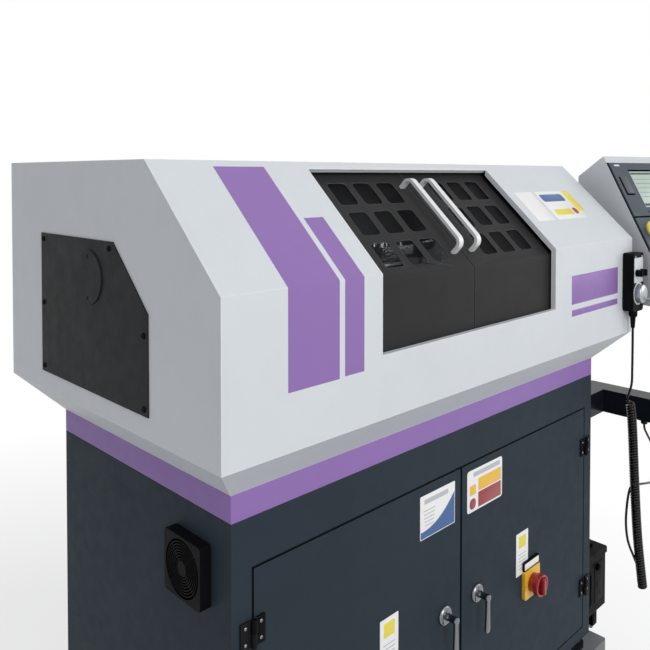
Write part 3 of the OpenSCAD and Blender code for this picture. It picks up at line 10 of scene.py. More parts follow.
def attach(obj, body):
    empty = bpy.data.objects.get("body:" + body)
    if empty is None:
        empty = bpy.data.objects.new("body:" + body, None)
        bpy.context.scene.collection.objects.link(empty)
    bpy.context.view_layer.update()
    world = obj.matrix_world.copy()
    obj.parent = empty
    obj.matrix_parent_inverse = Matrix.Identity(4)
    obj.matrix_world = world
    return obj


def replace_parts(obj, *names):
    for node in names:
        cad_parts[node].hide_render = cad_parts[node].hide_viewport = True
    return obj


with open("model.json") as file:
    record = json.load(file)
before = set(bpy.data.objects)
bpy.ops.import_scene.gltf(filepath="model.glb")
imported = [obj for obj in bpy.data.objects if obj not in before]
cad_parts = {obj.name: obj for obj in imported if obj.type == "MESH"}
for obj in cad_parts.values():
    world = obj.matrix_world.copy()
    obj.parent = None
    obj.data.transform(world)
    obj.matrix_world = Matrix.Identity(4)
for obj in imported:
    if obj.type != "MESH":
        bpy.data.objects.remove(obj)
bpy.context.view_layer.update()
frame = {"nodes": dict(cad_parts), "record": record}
NODES = frame["nodes"]
scene = bpy.context.scene
MM = 0.001

# Materials
BAND = (0.3, 0.7)  # the part of a noise's range that is spread over a colour or a gloss
DIRT_SCALE, GLOSS_SCALE, WEAR_AND_HIGHLIGHT_SCALE = 7, 30, 60
DIRT_BAND, WEAR_AND_HIGHLIGHT_BAND, EDGE_BAND = (0.5, 0.75), (0.42, 0.62), (0.7, 0.99)
DIRT_SHADE = 0.6
COAT_ROUGH = 0.12


def lin(c):
    """An sRGB colour of 0 to 255 as linear light."""
    return [v / 255 / 12.92 if v / 255 <= 0.04045 else ((v / 255 + 0.055) / 1.055) ** 2.4 for v in c]


def rgba(c, k=1.0):
    return [min(1.0, v * k) for v in lin(c)] + [1.0]


class Graph:
    """A small helper that adds and links shader nodes."""

    def __init__(self, name):
        self.mat = bpy.data.materials.new(name)
        self.mat.use_nodes = True
        self.tree = self.mat.node_tree
        self.bsdf = self.tree.nodes["Principled BSDF"]
        self.coord = self.add("ShaderNodeTexCoord").outputs["Object"]

    def add(self, kind, **values):
        n = self.tree.nodes.new(kind)
        for k, v in values.items():
            setattr(n, k, v)
        return n

    def link(self, a, b):
        self.tree.links.new(a, b)

    def value(self, **inputs):
        """Sets inputs of the surface, named with _ for a space."""
        for k, v in inputs.items():
            self.bsdf.inputs[k.replace("_", " ")].default_value = v

    def noise(self, scale, detail=3.0, rough=0.5, stretch=None):
        n = self.add("ShaderNodeTexNoise")
        n.inputs["Scale"].default_value = scale
        n.inputs["Detail"].default_value = detail
        n.inputs["Roughness"].default_value = rough
        if stretch:
            m = self.add("ShaderNodeMapping")
            m.inputs["Scale"].default_value = stretch
            self.link(self.coord, m.inputs["Vector"])
            self.link(m.outputs["Vector"], n.inputs["Vector"])
        else:
            self.link(self.coord, n.inputs["Vector"])
        return n.outputs["Fac"]

    def span(self, src, lo, hi, band=BAND):
        """Maps a band of a value onto lo to hi."""
        m = self.add("ShaderNodeMapRange")
        m.inputs["From Min"].default_value, m.inputs["From Max"].default_value = band
        m.inputs["To Min"].default_value = lo
        m.inputs["To Max"].default_value = hi
        self.link(src, m.inputs["Value"])
        return m.outputs["Result"]

    def drift(self, src, dark, pale):
        """A colour that goes from dark to pale over the noise's band."""
        r = self.add("ShaderNodeValToRGB")
        for stop, place, col in zip(r.color_ramp.elements, BAND, (dark, pale)):
            stop.position = place
            stop.color = col
        self.link(src, r.inputs["Fac"])
        return r.outputs["Color"]

    def over(self, fac, base, col):
        """A plain colour laid over the base where fac is high."""
        m = self.add("ShaderNodeMix", data_type="RGBA")
        self.link(fac, m.inputs["Factor"])
        self.link(base, m.inputs["A"])
        m.inputs["B"].default_value = col
        return m.outputs["Result"]

    def times(self, a, b):
        m = self.add("ShaderNodeMath", operation="MULTIPLY")
        self.link(a, m.inputs[0])
        self.link(b, m.inputs[1])
        return m.outputs[0]

    def edges(self, radius):
        """1 at sharp edges, from a rounded normal held against the true one."""
        bev = self.add("ShaderNodeBevel", samples=4)
        bev.inputs["Radius"].default_value = radius
        geo = self.add("ShaderNodeNewGeometry")
        dot = self.add("ShaderNodeVectorMath", operation="DOT_PRODUCT")
        self.link(bev.outputs["Normal"], dot.inputs[0])
        self.link(geo.outputs["Normal"], dot.inputs[1])
        return self.span(dot.outputs["Value"], 1, 0, EDGE_BAND)

    def surface(self, base, gloss):
        self.link(base, self.bsdf.inputs["Base Color"])
        self.link(gloss, self.bsdf.inputs["Roughness"])

    def bump(self, src, strength, dist):
        b = self.add("ShaderNodeBump")
        b.inputs["Strength"].default_value = strength
        b.inputs["Distance"].default_value = dist
        self.link(src, b.inputs["Height"])
        self.link(b.outputs["Normal"], self.bsdf.inputs["Normal"])


def finish(name, col, rough, metal=0.0, var=0.04, vscale=2.5, grain=700, bump=0.12, dist=0.0004,
           rvar=0.06, wear_and_highlight=None, coat=0.0, stretch=None, spec=0.5, smudge=0.0, edge_r=0.0022,
           wear_and_highlight_span=(0, 0.8)):
    """Paint, plastic or metal with colour drift, grain, uneven gloss, and a paler colour in patches along
    sharp edges that is partly rubbed paint and partly a painted highlight; on the light and charcoal paints
    it is a painted highlight along the folds.
    """
    g = Graph(name)
    base = g.drift(g.noise(vscale, 5, 0.6), rgba(col, 1 - var), rgba(col, 1 + var))
    if smudge:
        dirt = g.span(g.noise(DIRT_SCALE, 6, 0.7), 0, smudge, DIRT_BAND)
        base = g.over(dirt, base, rgba([c * DIRT_SHADE for c in col]))
    # Paler patches along sharp edges: partly rubbed paint, partly a painted highlight that lightens the
    # edges as light catching them would.
    if wear_and_highlight:
        patchy = g.span(g.noise(WEAR_AND_HIGHLIGHT_SCALE, 6, 0.7), *wear_and_highlight_span, WEAR_AND_HIGHLIGHT_BAND)
        base = g.over(g.times(g.edges(edge_r), patchy), base, rgba(wear_and_highlight))
    g.surface(base, g.span(g.noise(GLOSS_SCALE, 4, 0.6, stretch), rough - rvar, rough + rvar))
    g.bump(g.noise(grain, 2, 0.5, stretch), bump, dist)
    g.value(Metallic=metal, Coat_Weight=coat, Coat_Roughness=COAT_ROUGH, Specular_IOR_Level=spec)
    return g.mat


def smoked(name):
    """The see-through dark window panes."""
    g = Graph(name)
    g.surface(g.drift(g.noise(4, 4), rgba((14, 14, 16)), rgba((24, 24, 27))),
              g.span(g.noise(90, 6, 0.7), 0.03, 0.12))
    g.bump(g.noise(12, 2), 0.03, 0.001)
    g.value(Alpha=0.22, Specular_IOR_Level=0.06)
    return g.mat


def lcd(name):
    """The pale reflective display."""
    g = Graph(name)
    g.surface(g.drift(g.noise(5, 3), rgba((172, 190, 178)), rgba((186, 202, 190))),
              g.span(g.noise(50, 3), 0.16, 0.26))
    g.bump(g.noise(1500, 1), 0.03, 0.0002)
    return g.mat


BRUSH = (1.0, 40.0, 40.0)
MAT = {
    # The white along the light paint's edges is a painted highlight on the enclosure's folds and edges.
    "light": finish("light_paint", (212, 216, 220), 0.5, var=0.02, grain=600, bump=0.10, smudge=0.05,
                    wear_and_highlight=(255, 255, 255), edge_r=0.004, wear_and_highlight_span=(0.45, 0.9)),
    "slate": finish("slate_paint", (44, 53, 62), 0.55, var=0.06, grain=900, bump=0.22, smudge=0.15,
                    wear_and_highlight=(86, 92, 100), spec=0.08),
    "purple": finish("purple_paint", (138, 104, 170), 0.5, wear_and_highlight=(186, 160, 206)),
    "decal": finish("purple_decal", (138, 104, 170), 0.46, var=0.03, grain=900, bump=0.04),
    # The pale grey along the charcoal paint's edges is a painted highlight on the doors' folds.
    "charcoal": finish("charcoal_paint", (46, 46, 47), 0.52, var=0.05, grain=900, bump=0.2, smudge=0.12,
                       wear_and_highlight=(124, 124, 126), spec=0.08, edge_r=0.003, wear_and_highlight_span=(0.4, 0.9)),
    "cover": finish("cover_paint", (36, 37, 39), 0.52, grain=900, bump=0.2, smudge=0.06,
                    wear_and_highlight=(70, 70, 72), spec=0.08),
    "black": finish("black_paint", (24, 24, 26), 0.5, var=0.1, grain=800, bump=0.2, wear_and_highlight=(58, 58, 60),
                    spec=0.06),
    "arm": finish("arm_paint", (21, 26, 32), 0.24, var=0.1, bump=0.06, rvar=0.05, spec=0.12),
    "silver": finish("silver_paint", (200, 203, 206), 0.45, metal=0.1, var=0.03, grain=900, bump=0.14,
                     wear_and_highlight=(206, 208, 210)),
    "handle": finish("white_handle", (226, 226, 226), 0.34, var=0.02, grain=500, bump=0.05, coat=0.3),
    "iron": finish("pad_iron", (120, 121, 124), 0.6, metal=0.2, var=0.1, vscale=9, grain=260, bump=0.5,
                   dist=0.0008, wear_and_highlight=(160, 160, 160)),
    "bed": finish("bed_iron", (92, 98, 100), 0.5, var=0.08, grain=320, bump=0.35, wear_and_highlight=(150, 152, 152)),
    "steel": finish("ground_steel", (196, 198, 202), 0.26, metal=1.0, var=0.06, vscale=8, grain=260,
                    stretch=BRUSH),
    "zinc": finish("zinc_steel", (168, 172, 176), 0.36, metal=0.9, var=0.08, vscale=14, grain=420,
                   bump=0.15),
    "chrome": finish("chrome", (126, 129, 134), 0.15, metal=1.0, var=0.03, vscale=20, grain=90, bump=0.03,
                     rvar=0.04),
    "rose": finish("satin_chrome", (132, 134, 138), 0.2, metal=1.0, var=0.05, vscale=20, grain=200,
                   bump=0.05),
    "pane": smoked("smoked_pane"),
    "plastic": finish("black_plastic", (15, 15, 17), 0.46, var=0.08, grain=1300, bump=0.3,
                      wear_and_highlight=(34, 34, 36), spec=0.04),
    "tank": finish("tank_plastic", (5, 5, 6), 0.5, var=0.1, grain=1100, bump=0.2, wear_and_highlight=(20, 20, 22),
                   spec=0.05),
    "bezel": finish("slate_plastic", (66, 75, 82), 0.48, var=0.05, grain=1500, bump=0.22,
                    wear_and_highlight=(90, 96, 104), spec=0.25),
    "port": finish("port_plastic", (62, 67, 75), 0.5, var=0.05, grain=1400, bump=0.2),
    "key": finish("key_plastic", (118, 123, 130), 0.5, var=0.05, grain=1500, bump=0.18),
    "keydark": finish("key_dark_plastic", (38, 41, 46), 0.5, var=0.06, grain=1500, bump=0.18),
    "yellow": finish("yellow_plastic", (238, 186, 52), 0.36, grain=900, bump=0.08, coat=0.2),
    "collar": finish("collar_plastic", (226, 206, 84), 0.4, var=0.05, grain=900, bump=0.1, coat=0.1),
    "red": finish("red_plastic", (150, 28, 36), 0.34, var=0.05, grain=900, bump=0.08, coat=0.25),
    "belt": finish("belt_rubber", (20, 20, 20), 0.75, var=0.1, grain=500, bump=0.3),
    "cord": finish("cord_rubber", (5, 5, 6), 0.14, var=0.1, grain=900, bump=0.04, rvar=0.03, spec=0.28),
    "white": finish("white_card", (240, 240, 238), 0.4, var=0.015, grain=1200, bump=0.03),
    "lemon": finish("lemon_card", (236, 218, 78), 0.4, var=0.02, grain=1200, bump=0.03),
    "grey": finish("grey_field", (186, 190, 196), 0.4, var=0.02, grain=1200, bump=0.03),
    "blue": finish("blue_card", (54, 96, 150), 0.4, grain=1200, bump=0.03),
    "tag": finish("bare_tag", (206, 222, 224), 0.35, var=0.03, grain=1200, bump=0.04),
    "ink": finish("ink_and_shade_field", (18, 19, 23), 0.5, var=0.06, grain=1200, bump=0.05),
    "void": finish("gap_shadow", (3, 3, 4), 0.8, var=0.1, grain=900, bump=0.1, spec=0.02),
    "lcd": lcd("display"),
}
SLOT_MAT = {
    "light_paint": "light", "slate_paint": "slate", "purple_paint": "purple", "charcoal_paint": "charcoal",
    "black_paint": "black", "silver_paint": "silver", "white_handle": "handle", "grey_iron": "iron",
    "bed_iron": "bed", "ground_steel": "steel", "zinc_steel": "zinc", "chrome": "chrome",
    "smoked_pane": "pane", "black_plastic": "plastic", "slate_plastic": "bezel",
    "yellow_plastic": "yellow", "red_plastic": "red", "belt_rubber": "belt", "cord_rubber": "cord",
}
MAT_SLOT = {v: k for k, v in SLOT_MAT.items()}
MAT_SLOT.update(decal="purple_paint", rose="chrome")
MAT_SLOT.update(dict.fromkeys(("white", "tag"), "light_paint"))
MAT_SLOT.update(dict.fromkeys(("key", "keydark", "lcd", "port"), "slate_plastic"))
MAT_SLOT.update(dict.fromkeys(("ink", "void", "tank"), "black_plastic"))
MAT_SLOT.update(collar="yellow_plastic")
NODE_MAT = {"side_cover": "cover", "bar_hole_cover": "cover", "control_arm": "arm",
            "lubricator_tank": "tank", "lubricator_head": "tank"}
for part in frame["record"]["subparts"]:
    mats = NODES[part["node"]].data.materials
    mats.clear()
    mats.append(MAT[NODE_MAT.get(part["node"], SLOT_MAT[part["material_slot"]])])

# Rounded edges of the CAD nodes
WELD = 1e-5
SOFT_DEG = 32


def soften(width, seg, *names):
    """Rounds the sharp edges of CAD nodes as a folded or moulded edge is rounded, width in mm."""
    for n in names:
        ob = NODES[n]
        ob.modifiers.new("weld", "WELD").merge_threshold = WELD
        bev = ob.modifiers.new("bevel", "BEVEL")
        bev.width = width * MM
        bev.segments = seg
        bev.limit_method = "ANGLE"
        bev.angle_limit = math.radians(SOFT_DEG)
        bev.harden_normals = True


soften(2.2, 2, "enclosure_shell")
soften(1.6, 2, "chip_tray", "cabinet_shell", "panel_housing")
soften(1.0, 2, "left_cabinet_door", "right_cabinet_door", "left_sliding_door", "right_sliding_door")
soften(0.7, 2, "side_cover", "bar_hole_cover", "pendant_hook")
soften(2.5, 3, "lubricator_tank", "lubricator_head", "control_arm", "pendant_body")
soften(1.0, 2, "switch_plate", "axis_selector", "rate_selector")
soften(1.0, 2, "headstock", "tailstock_body", "carriage", "cross_slide", "turret_head", "bed", "chuck_body")

# Frames and forms: every length is in mm, in the frame m
SHARP_DEG = 35
CORNER_STEPS, EDGE_STEPS = 6, 2
ROUND_FROM = 0.5    # a corner up to this radius is left sharp
OVAL = 0.6          # the power that squares off a lofted section
FAR = 1e9


def move(x, y, z):
    return Matrix.Translation(V((x, y, z)) * MM)


def rot(deg, axis):
    return Matrix.Rotation(math.radians(deg), 4, axis)


def facing(y):
    """A frame on a face towards the operator at depth y: x along X, y along Z, z out of the face."""
    return move(0, y, 0) @ rot(90, "X")


def leftward(x, y, z):
    """A frame on a face of the left end, with z out of the face."""
    return move(x, y, z) @ V((-1, 0, 0)).to_track_quat("Z", "Y").to_matrix().to_4x4()


def piece(name, bm, mats, body):
    """Makes an object of bm, gives it its materials and lets it ride its body."""
    bmesh.ops.recalc_face_normals(bm, faces=bm.faces)
    me = bpy.data.meshes.new(name)
    bm.to_mesh(me)
    bm.free()
    me.polygons.foreach_set("use_smooth", [True] * len(me.polygons))
    me.set_sharp_from_angle(angle=math.radians(SHARP_DEG))
    ob = bpy.data.objects.new(name, me)
    scene.collection.objects.link(ob)
    mats = [mats] if isinstance(mats, str) else mats
    for m in mats:
        me.materials.append(MAT[m])
    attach(ob, body)
    return ob


def vert(bm, m, x, y, z):
    return bm.verts.new(m @ (V((x, y, z)) * MM))


def bridge(bm, rings, mat):
    """Faces from each ring of points to the next; a ring may be a single point."""
    for a, b in zip(rings, rings[1:]):
        n = max(len(a), len(b))
        for i in range(n):
            j = (i + 1) % n
            quad = (a[i % len(a)], a[j % len(a)], b[j % len(b)], b[i % len(b)])
            bm.faces.new(list(dict.fromkeys(quad))).material_index = mat


def slab(bm, m, w, h, t, r, corner=0.0, mat=0):
    """A plate of w by h by t on local z 0, with round corners and its top edge rounded by r."""
    pts = []
    for i, (sx, sy) in enumerate(((1, 1), (-1, 1), (-1, -1), (1, -1))):
        if corner <= ROUND_FROM:
            pts.append((sx * w / 2, sy * h / 2))
            continue
        for k in range(CORNER_STEPS):
            a = math.radians(90 * i + 90 * k / (CORNER_STEPS - 1))
            pts.append((sx * (w / 2 - corner) + corner * math.cos(a),
                        sy * (h / 2 - corner) + corner * math.sin(a)))
    rings = [[vert(bm, m, x, y, 0) for x, y in pts]]
    for k in range(EDGE_STEPS + 1):
        a = math.radians(90 * k / EDGE_STEPS)
        inset = r * (1 - math.cos(a))
        z = t - r + r * math.sin(a)
        fx, fy = 1 - 2 * inset / w, 1 - 2 * inset / h
        rings.append([vert(bm, m, x * fx, y * fy, z) for x, y in pts])
    bridge(bm, rings, mat)
    bm.faces.new(rings[-1]).material_index = mat
    bm.faces.new(list(reversed(rings[0]))).material_index = mat


def turn(bm, m, prof, n=32, mat=0):
    """Revolves a profile of (radius, height) about local z."""
    angles = [2 * math.pi * k / n for k in range(n)]
    rings = [[vert(bm, m, r * math.cos(a), r * math.sin(a), h) for a in (angles if r else [0])]
             for r, h in prof]
    bridge(bm, rings, mat)


def circle(r):
    """The reach of a circle from its centre at each angle."""
    return lambda a: r


def rect(x0, x1, y0, y1, corner=0.0):
    """The reach of a rectangle from an inner point at each angle, with round corners if it is a square."""
    def reach(a):
        c, q = math.cos(a), math.sin(a)
        t = min((x1 if c > 0 else x0) / c if abs(c) > 1 / FAR else FAR,
                (y1 if q > 0 else y0) / q if abs(q) > 1 / FAR else FAR)
        k = x1 - corner
        if corner and abs(t * c) > k and abs(t * q) > k:
            b = k * (abs(c) + abs(q))
            t = b + math.sqrt(b * b - 2 * k * k + corner * corner)
        return t
    reach.turns = [math.atan2(y, x) % (2 * math.pi) for x in (x0, x1) for y in (y0, y1)]
    return reach


def holed(bm, m, outer, inner, z0, z1, n=64):
    """A plate with a hole: both outlines are given as their reach from one point."""
    angles = [2 * math.pi * k / n for k in range(n)] + outer.turns + getattr(inner, "turns", [])
    angles = sorted({round(a, 6) for a in angles})
    rings = [[vert(bm, m, reach(a) * math.cos(a), reach(a) * math.sin(a), z) for a in angles]
             for reach, z in ((outer, z0), (outer, z1), (inner, z1), (inner, z0))]
    bridge(bm, rings + rings[:1], 0)


def loft(bm, m, sections, n=20):
    """A bar along local y through oval sections of (y, half width, half thickness, z)."""
    unit = [(math.cos(2 * math.pi * k / n), math.sin(2 * math.pi * k / n)) for k in range(n)]
    unit = [[math.copysign(abs(v) ** OVAL, v) for v in p] for p in unit]
    rings = [[vert(bm, m, c * w, y, z + q * t) for c, q in unit] for y, w, t, z in sections]
    bridge(bm, rings, 0)
    for ring in (rings[0], rings[-1]):
        bm.faces.new(ring)


def screw(bm, m, r, h, mat=0):
    """A round socket screw head of radius r and height h."""
    turn(bm, m, [(0, h * 0.66), (r * 0.45, h * 0.66), (r * 0.5, h * 0.92), (r * 0.62, h),
                 (r * 0.86, h * 0.82), (r, h * 0.4), (r, -0.2), (0, -0.2)], 20, mat)


# Camera, fitted to the photograph
cam = bpy.data.objects.new("camera", bpy.data.cameras.new("camera"))
scene.collection.objects.link(cam)
cam.location = (-1.515, -1.4093, 1.5842)
cam.rotation_euler = (math.radians(88.6), 0, math.radians(-44.2))
cam.data.sensor_width = 36
cam.data.lens = 39.95
cam.data.shift_y = -0.204
cam.data.clip_end = 60
scene.camera = cam

# Pendant cord: its route is given from where it leaves the pendant's gland
TOP = V((775, -456.5, 1099))
END = V((1013, -400, 721))
LEAD = [V(p) for p in ((0, 0, 0), (0, 0, -60), (-1, 0, -130), (-3, 1, -182))]
COIL = [V(p) for p in ((-3, 6, -231), (3, 0, -309), (13, -6, -509), (29, -10, -679), (51, -19, -849))]
TAIL = [V(p) for p in ((60, -1, -838), (57, -2, -798), (38, 3, -757), (10, 12, -696), (-1, 15, -634),
                       (3, 14, -575), (12, 11, -532), (27, 8, -517), (42, -4, -514), (85, -8, -523),
                       (145, -4, -538))]
# The last stretch is given from the far end
TAIL_END = [V(p) for p in ((-10, -30, -182), (40, -20, -178), (66, -10, -138), (58, -4, -88),
                           (26, -1, -46), (5, 0, -20), (0, 0, 0))]
CORD_R, COIL_R, PITCH, PER_TURN = 3.8, 11.15, 8.8, 16
COIL_START, COIL_STOP = 2.0, 1.0    # mm of the coil's route left free at its two ends
FIRST_DEG = -75                     # where on the coil the winding starts
LEAD_IN, LEAD_IN_DEG = 7, 72        # points over which the winding flattens, and its first steepness
COIL_STEPS, LOOSE_STEPS = 24, 6     # points per stretch of the coil's route and of the loose cord


def smooth(pts, n):
    """Catmull-Rom points through a route, n per stretch."""
    out = []
    last = len(pts) - 1
    for i in range(last):
        a, b, c, d = pts[max(i - 1, 0)], pts[i], pts[i + 1], pts[min(i + 2, last)]
        for k in range(n):
            t = k / n
            out.append(b + (c - a) * t / 2 + (2 * a - 5 * b + 4 * c - d) * t * t / 2
                       + (3 * b - a - 3 * c + d) * t ** 3 / 2)
    out.append(pts[last])
    return out


def coil_points():
    """The wound part: a helix about the coil's route that starts steep and then lies close."""
    line = smooth(COIL, COIL_STEPS)
    run = [0.0]
    for a, b in zip(line, line[1:]):
        run.append(run[-1] + (b - a).length)

    def on_line(s):
        i = next((i for i in range(1, len(run)) if run[i] >= s), len(run) - 1)
        f = (s - run[i - 1]) / (run[i] - run[i - 1])
        return line[i - 1].lerp(line[i], f), (line[i] - line[i - 1]).normalized()

    pts = []
    s, ang = COIL_START, math.radians(FIRST_DEG)
    close = math.atan2(PITCH, 2 * math.pi * COIL_R)
    step = 2 * math.pi * COIL_R / PER_TURN
    while s < run[-1] - COIL_STOP:
        c, d = on_line(s)
        u = d.cross(V((0, 1, 0))).normalized()
        pts.append(c + COIL_R * (math.cos(ang) * u + math.sin(ang) * d.cross(u)))
        lead_in = max(0.0, 1 - len(pts) / LEAD_IN)
        tilt = close + (math.radians(LEAD_IN_DEG) - close) * lead_in ** 1.5
        ang += step * math.cos(tilt) / COIL_R
        s += step * math.sin(tilt)
    return pts


wound = coil_points()
head = smooth(LEAD + wound[:2], LOOSE_STEPS)[:-LOOSE_STEPS - 1]
tail = smooth(wound[-2:] + TAIL + [END - TOP + p for p in TAIL_END], LOOSE_STEPS)[LOOSE_STEPS + 1:]
route = [(TOP + p) * MM for p in head + wound + tail]
cu = bpy.data.curves.new("pendant_cord", "CURVE")
cu.dimensions = "3D"
cu.bevel_depth = CORD_R * MM
cu.bevel_resolution = 3
cu.use_fill_caps = True
sp = cu.splines.new("POLY")
sp.points.add(len(route) - 1)
for p, q in zip(sp.points, route):
    p.co = (*q, 1.0)
sp.use_smooth = True
cord = bpy.data.objects.new("pendant_cord", cu)
scene.collection.objects.link(cord)
cu.materials.append(MAT["cord"])
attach(cord, "machine")
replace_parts(cord, "cord_lead", "cord_coil", "cord_tail")

# Faces of the machine that carry pieces
FRONT_Y, FOLD_Z, SLOPE_DEG = -437, 1381, 43.796
PANEL_RUN, PANEL_RISE = 186, 316    # depth and height of the panel's sloped face
FRONT = facing(FRONT_Y)
SLOPE = move(0, FRONT_Y, FOLD_Z) @ rot(SLOPE_DEG, "X")
FACE = (move(1013, -480, 1165) @ rot(-15, "Z") @ move(0, 128, 482)
        @ rot(90 - math.degrees(math.atan2(PANEL_RUN, PANEL_RISE)), "X"))
CABINET = facing(-346)
LUBRICATOR = facing(-327)
PENDANT = facing(-473) @ move(775, 1154, 0)

# Colour stripes on the enclosure
STRIPE_T, STRIPE_SINK, STRIPE_EDGE = 0.3, 0.05, 0.1


def stripe(name, x0, x1, z0, reach):
    """A plain paint stripe that runs up the front from z0 and over the fold onto the slope."""
    slope = math.radians(SLOPE_DEG)
    up, fold = V((0, math.cos(slope), math.sin(slope))), V((0, FRONT_Y, FOLD_Z))
    low_n, high_n = V((0, -1, 0)), V((0, -up.z, up.y))
    fold_n = (low_n + high_n).normalized() / math.cos((slope - math.pi / 2) / 2)
    line = ((V((0, FRONT_Y, z0)), low_n), (fold, fold_n), (fold + up * reach, high_n))
    bm = bmesh.new()
    rows = [[bm.verts.new((V((x, 0, 0)) + p + n * d) * MM) for p, n in line]
            for x, d in ((x0, -STRIPE_SINK), (x0, STRIPE_T), (x1, STRIPE_T), (x1, -STRIPE_SINK))]
    for a, b in zip(rows, rows[1:] + rows[:1]):
        for i in range(2):
            bm.faces.new((a[i], a[i + 1], b[i + 1], b[i]))
    for i in (0, 2):
        bm.faces.new([r[i] for r in rows])
    piece(name, bm, "decal", "machine")


stripe("wide_stripe", -662, -530, 1190, 318)
stripe("slim_stripe", -515, -460, 1192, 165)
bm = bmesh.new()
slab(bm, FRONT @ move(556, 1256, 0), 300, 82, STRIPE_T, STRIPE_EDGE)
slab(bm, FRONT @ move(556, 1190, 0), 296, 18, STRIPE_T, STRIPE_EDGE)
piece("side_stripes", bm, "decal", "machine")

# Blank plates, with plain colour fields and bars where a label has its print
CARD_T, CARD_EDGE, CARD_CORNER = 0.4, 0.1, 2.0
FIELD_T, DOOR_FIELD_T = 0.15, 0.1
BARS, BAR_H = 5, 2.6


def card(bm, m, x, y, w, h, mat, lift=0.0, corner=CARD_CORNER, t=CARD_T):
    """A flat card, or a plain colour field on it, centred at x, y."""
    slab(bm, m @ move(x, y, lift), w, h, t, CARD_EDGE, corner, mat)


def field(bm, x, y, w, h, mat, corner=CARD_CORNER):
    """A colour field on a card of the cabinet doors."""
    card(bm, CABINET, x, y, w, h, mat, CARD_T, corner, DOOR_FIELD_T)


def bars(bm, x, y, w, mat, step=10, taper=0):
    for k in range(BARS):
        field(bm, x, y - step * k, w - taper * k, BAR_H, mat, 0)


def wedge(bm, m, x, y, w, h, mat, lift):
    """A colour field below an arc that climbs from the lower left to the right."""
    arc = [(0.5 - k / 8, -0.34 + 0.62 * (1 - k / 8) ** 2.2) for k in range(9)]
    pts = [(-0.5, -0.5), (0.5, -0.5)] + arc
    for z in (lift, lift + FIELD_T):
        bm.faces.new([vert(bm, m, x + a * w, y + b * h, z) for a, b in pts]).material_index = mat


bm = bmesh.new()
card(bm, SLOPE, 403, 160, 94, 116, 0)
card(bm, SLOPE, 560, 160, 184, 116, 0)
card(bm, SLOPE, 652, 174, 42, 88, 1, 0.3)
card(bm, SLOPE, 546, 190, 136, 30, 2, CARD_T, 8, FIELD_T)
card(bm, SLOPE, 540, 130, 106, 24, 1, CARD_T, 2, FIELD_T)
card(bm, SLOPE, 614, 132, 26, 26, 3, CARD_T, 12, FIELD_T)
piece("blank_plates", bm, ["white", "lemon", "blue", "red"], "machine")

bm = bmesh.new()
card(bm, CABINET, -94, 760, 140, 106, 0)
wedge(bm, CABINET, -94, 760, 136, 102, 1, 0.42)
field(bm, -100, 796, 96, 12, 3, 1)
bars(bm, -128, 774, 46, 3, 9, 3)
card(bm, CABINET, -276, 512, 64, 124, 0)
field(bm, -276, 546, 38, 34, 2)
bars(bm, -276, 512, 40, 3)
piece("left_door_plates", bm, ["white", "blue", "lemon", "grey"], "left_door")

bm = bmesh.new()
card(bm, CABINET, 112, 762, 164, 110, 0, 0, 8)
field(bm, 120, 803, 124, 12, 4, 1)
field(bm, 134, 772, 108, 34, 1)
field(bm, 134, 732, 108, 40, 2)
field(bm, 55, 764, 28, 26, 1, 3)
field(bm, 55, 728, 28, 28, 2, 12)
card(bm, CABINET, 302, 508, 64, 122, 0)
field(bm, 302, 541, 38, 34, 3)
bars(bm, 302, 506, 40, 4)
piece("right_door_plates", bm, ["white", "yellow", "red", "lemon", "grey"], "right_door")

# Screws of the side cover, and flat ones of the bar hole cover
bm = bmesh.new()
for y, z in ((-194, 1138), (256, 1138), (256, 1286.5), (256, 1435), (-60, 1435), (-194, 1278.5)):
    screw(bm, leftward(-813, y, z), 6.2, 3.2)
for dz in (-44, 44):
    turn(bm, leftward(-816, 29, 1368 + dz), [(0, 0.1), (2, 0.1), (2.2, 0.18), (5, 0.18), (5.4, -0.2)], 24)
piece("cover_screws", bm, "tank", "machine")

# Fan guard with its fine rings, hub and spokes
FAN_HALF, FAN_BORE_R, FAN_DEPTH = 62, 57, 26
FAN_RINGS, RING_FIRST, RING_STEP = 7, 19, 5.4
bm = bmesh.new()
m = leftward(-749, -221, 817)
holed(bm, m, rect(-FAN_HALF, FAN_HALF, -FAN_HALF, FAN_HALF, 6), circle(FAN_BORE_R), -FAN_DEPTH, 0)
for k in range(FAN_RINGS):
    r = RING_FIRST + RING_STEP * k
    turn(bm, m, [(r - 1, -3), (r - 1, -0.4), (r, 0), (r + 1, -0.4), (r + 1, -3), (r - 1, -3)], 64)
turn(bm, m, [(0, 0), (14.6, 0), (15.4, -0.6), (15.4, -3), (0, -3)], 48)
for k in range(4):
    slab(bm, m @ rot(45 + 90 * k, "Z") @ move(36, 0, -4), 45, 2.2, 3.0, 0.4)
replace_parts(piece("fan_rings", bm, "plastic", "machine"), "fan_guard")

# Hinges of the cabinet doors
HINGE_Z = (716, 263)
for side, hx, door in ((-1, -674, "left_door"), (1, 678, "right_door")):
    bm = bmesh.new()
    for z in HINGE_Z:
        slab(bm, CABINET @ move(hx - side * 18.75, z, -0.1), 22.9, 54.4, 4.3, 0.8, 1.5)
        turn(bm, move(hx, -353, z + 0.3), [(0, 0), (6.2, 0), (6.2, 26.2), (5.4, 27.1), (0, 27.1)], 24)
    piece("hinge_leaves_%s" % door, bm, "plastic", door)
    for body, sgn in (("machine", side), (door, -side)):
        bm = bmesh.new()
        for z in HINGE_Z:
            for dz in (-16, 16):
                screw(bm, CABINET @ move(hx + sgn * 19, z + dz, 4.2), 3.4, 1.4)
        piece("hinge_screws_%s_%s" % (door, body), bm, "rose", body)

# Operator panel: UNIT is at the middle of the screen, STOP at the stop button
FACE_T = 6
KEY_T, KEY_EDGE, KEY_CORNER = 3.3, 0.9, 2
UNIT = FACE @ move(-10, -131.5, 0)
STOP = FACE @ move(-116, -287, 0)


def key(bm, x, y, w, h, mat):
    slab(bm, FACE @ move(x, y, FACE_T), w, h, KEY_T, KEY_EDGE, KEY_CORNER, mat)


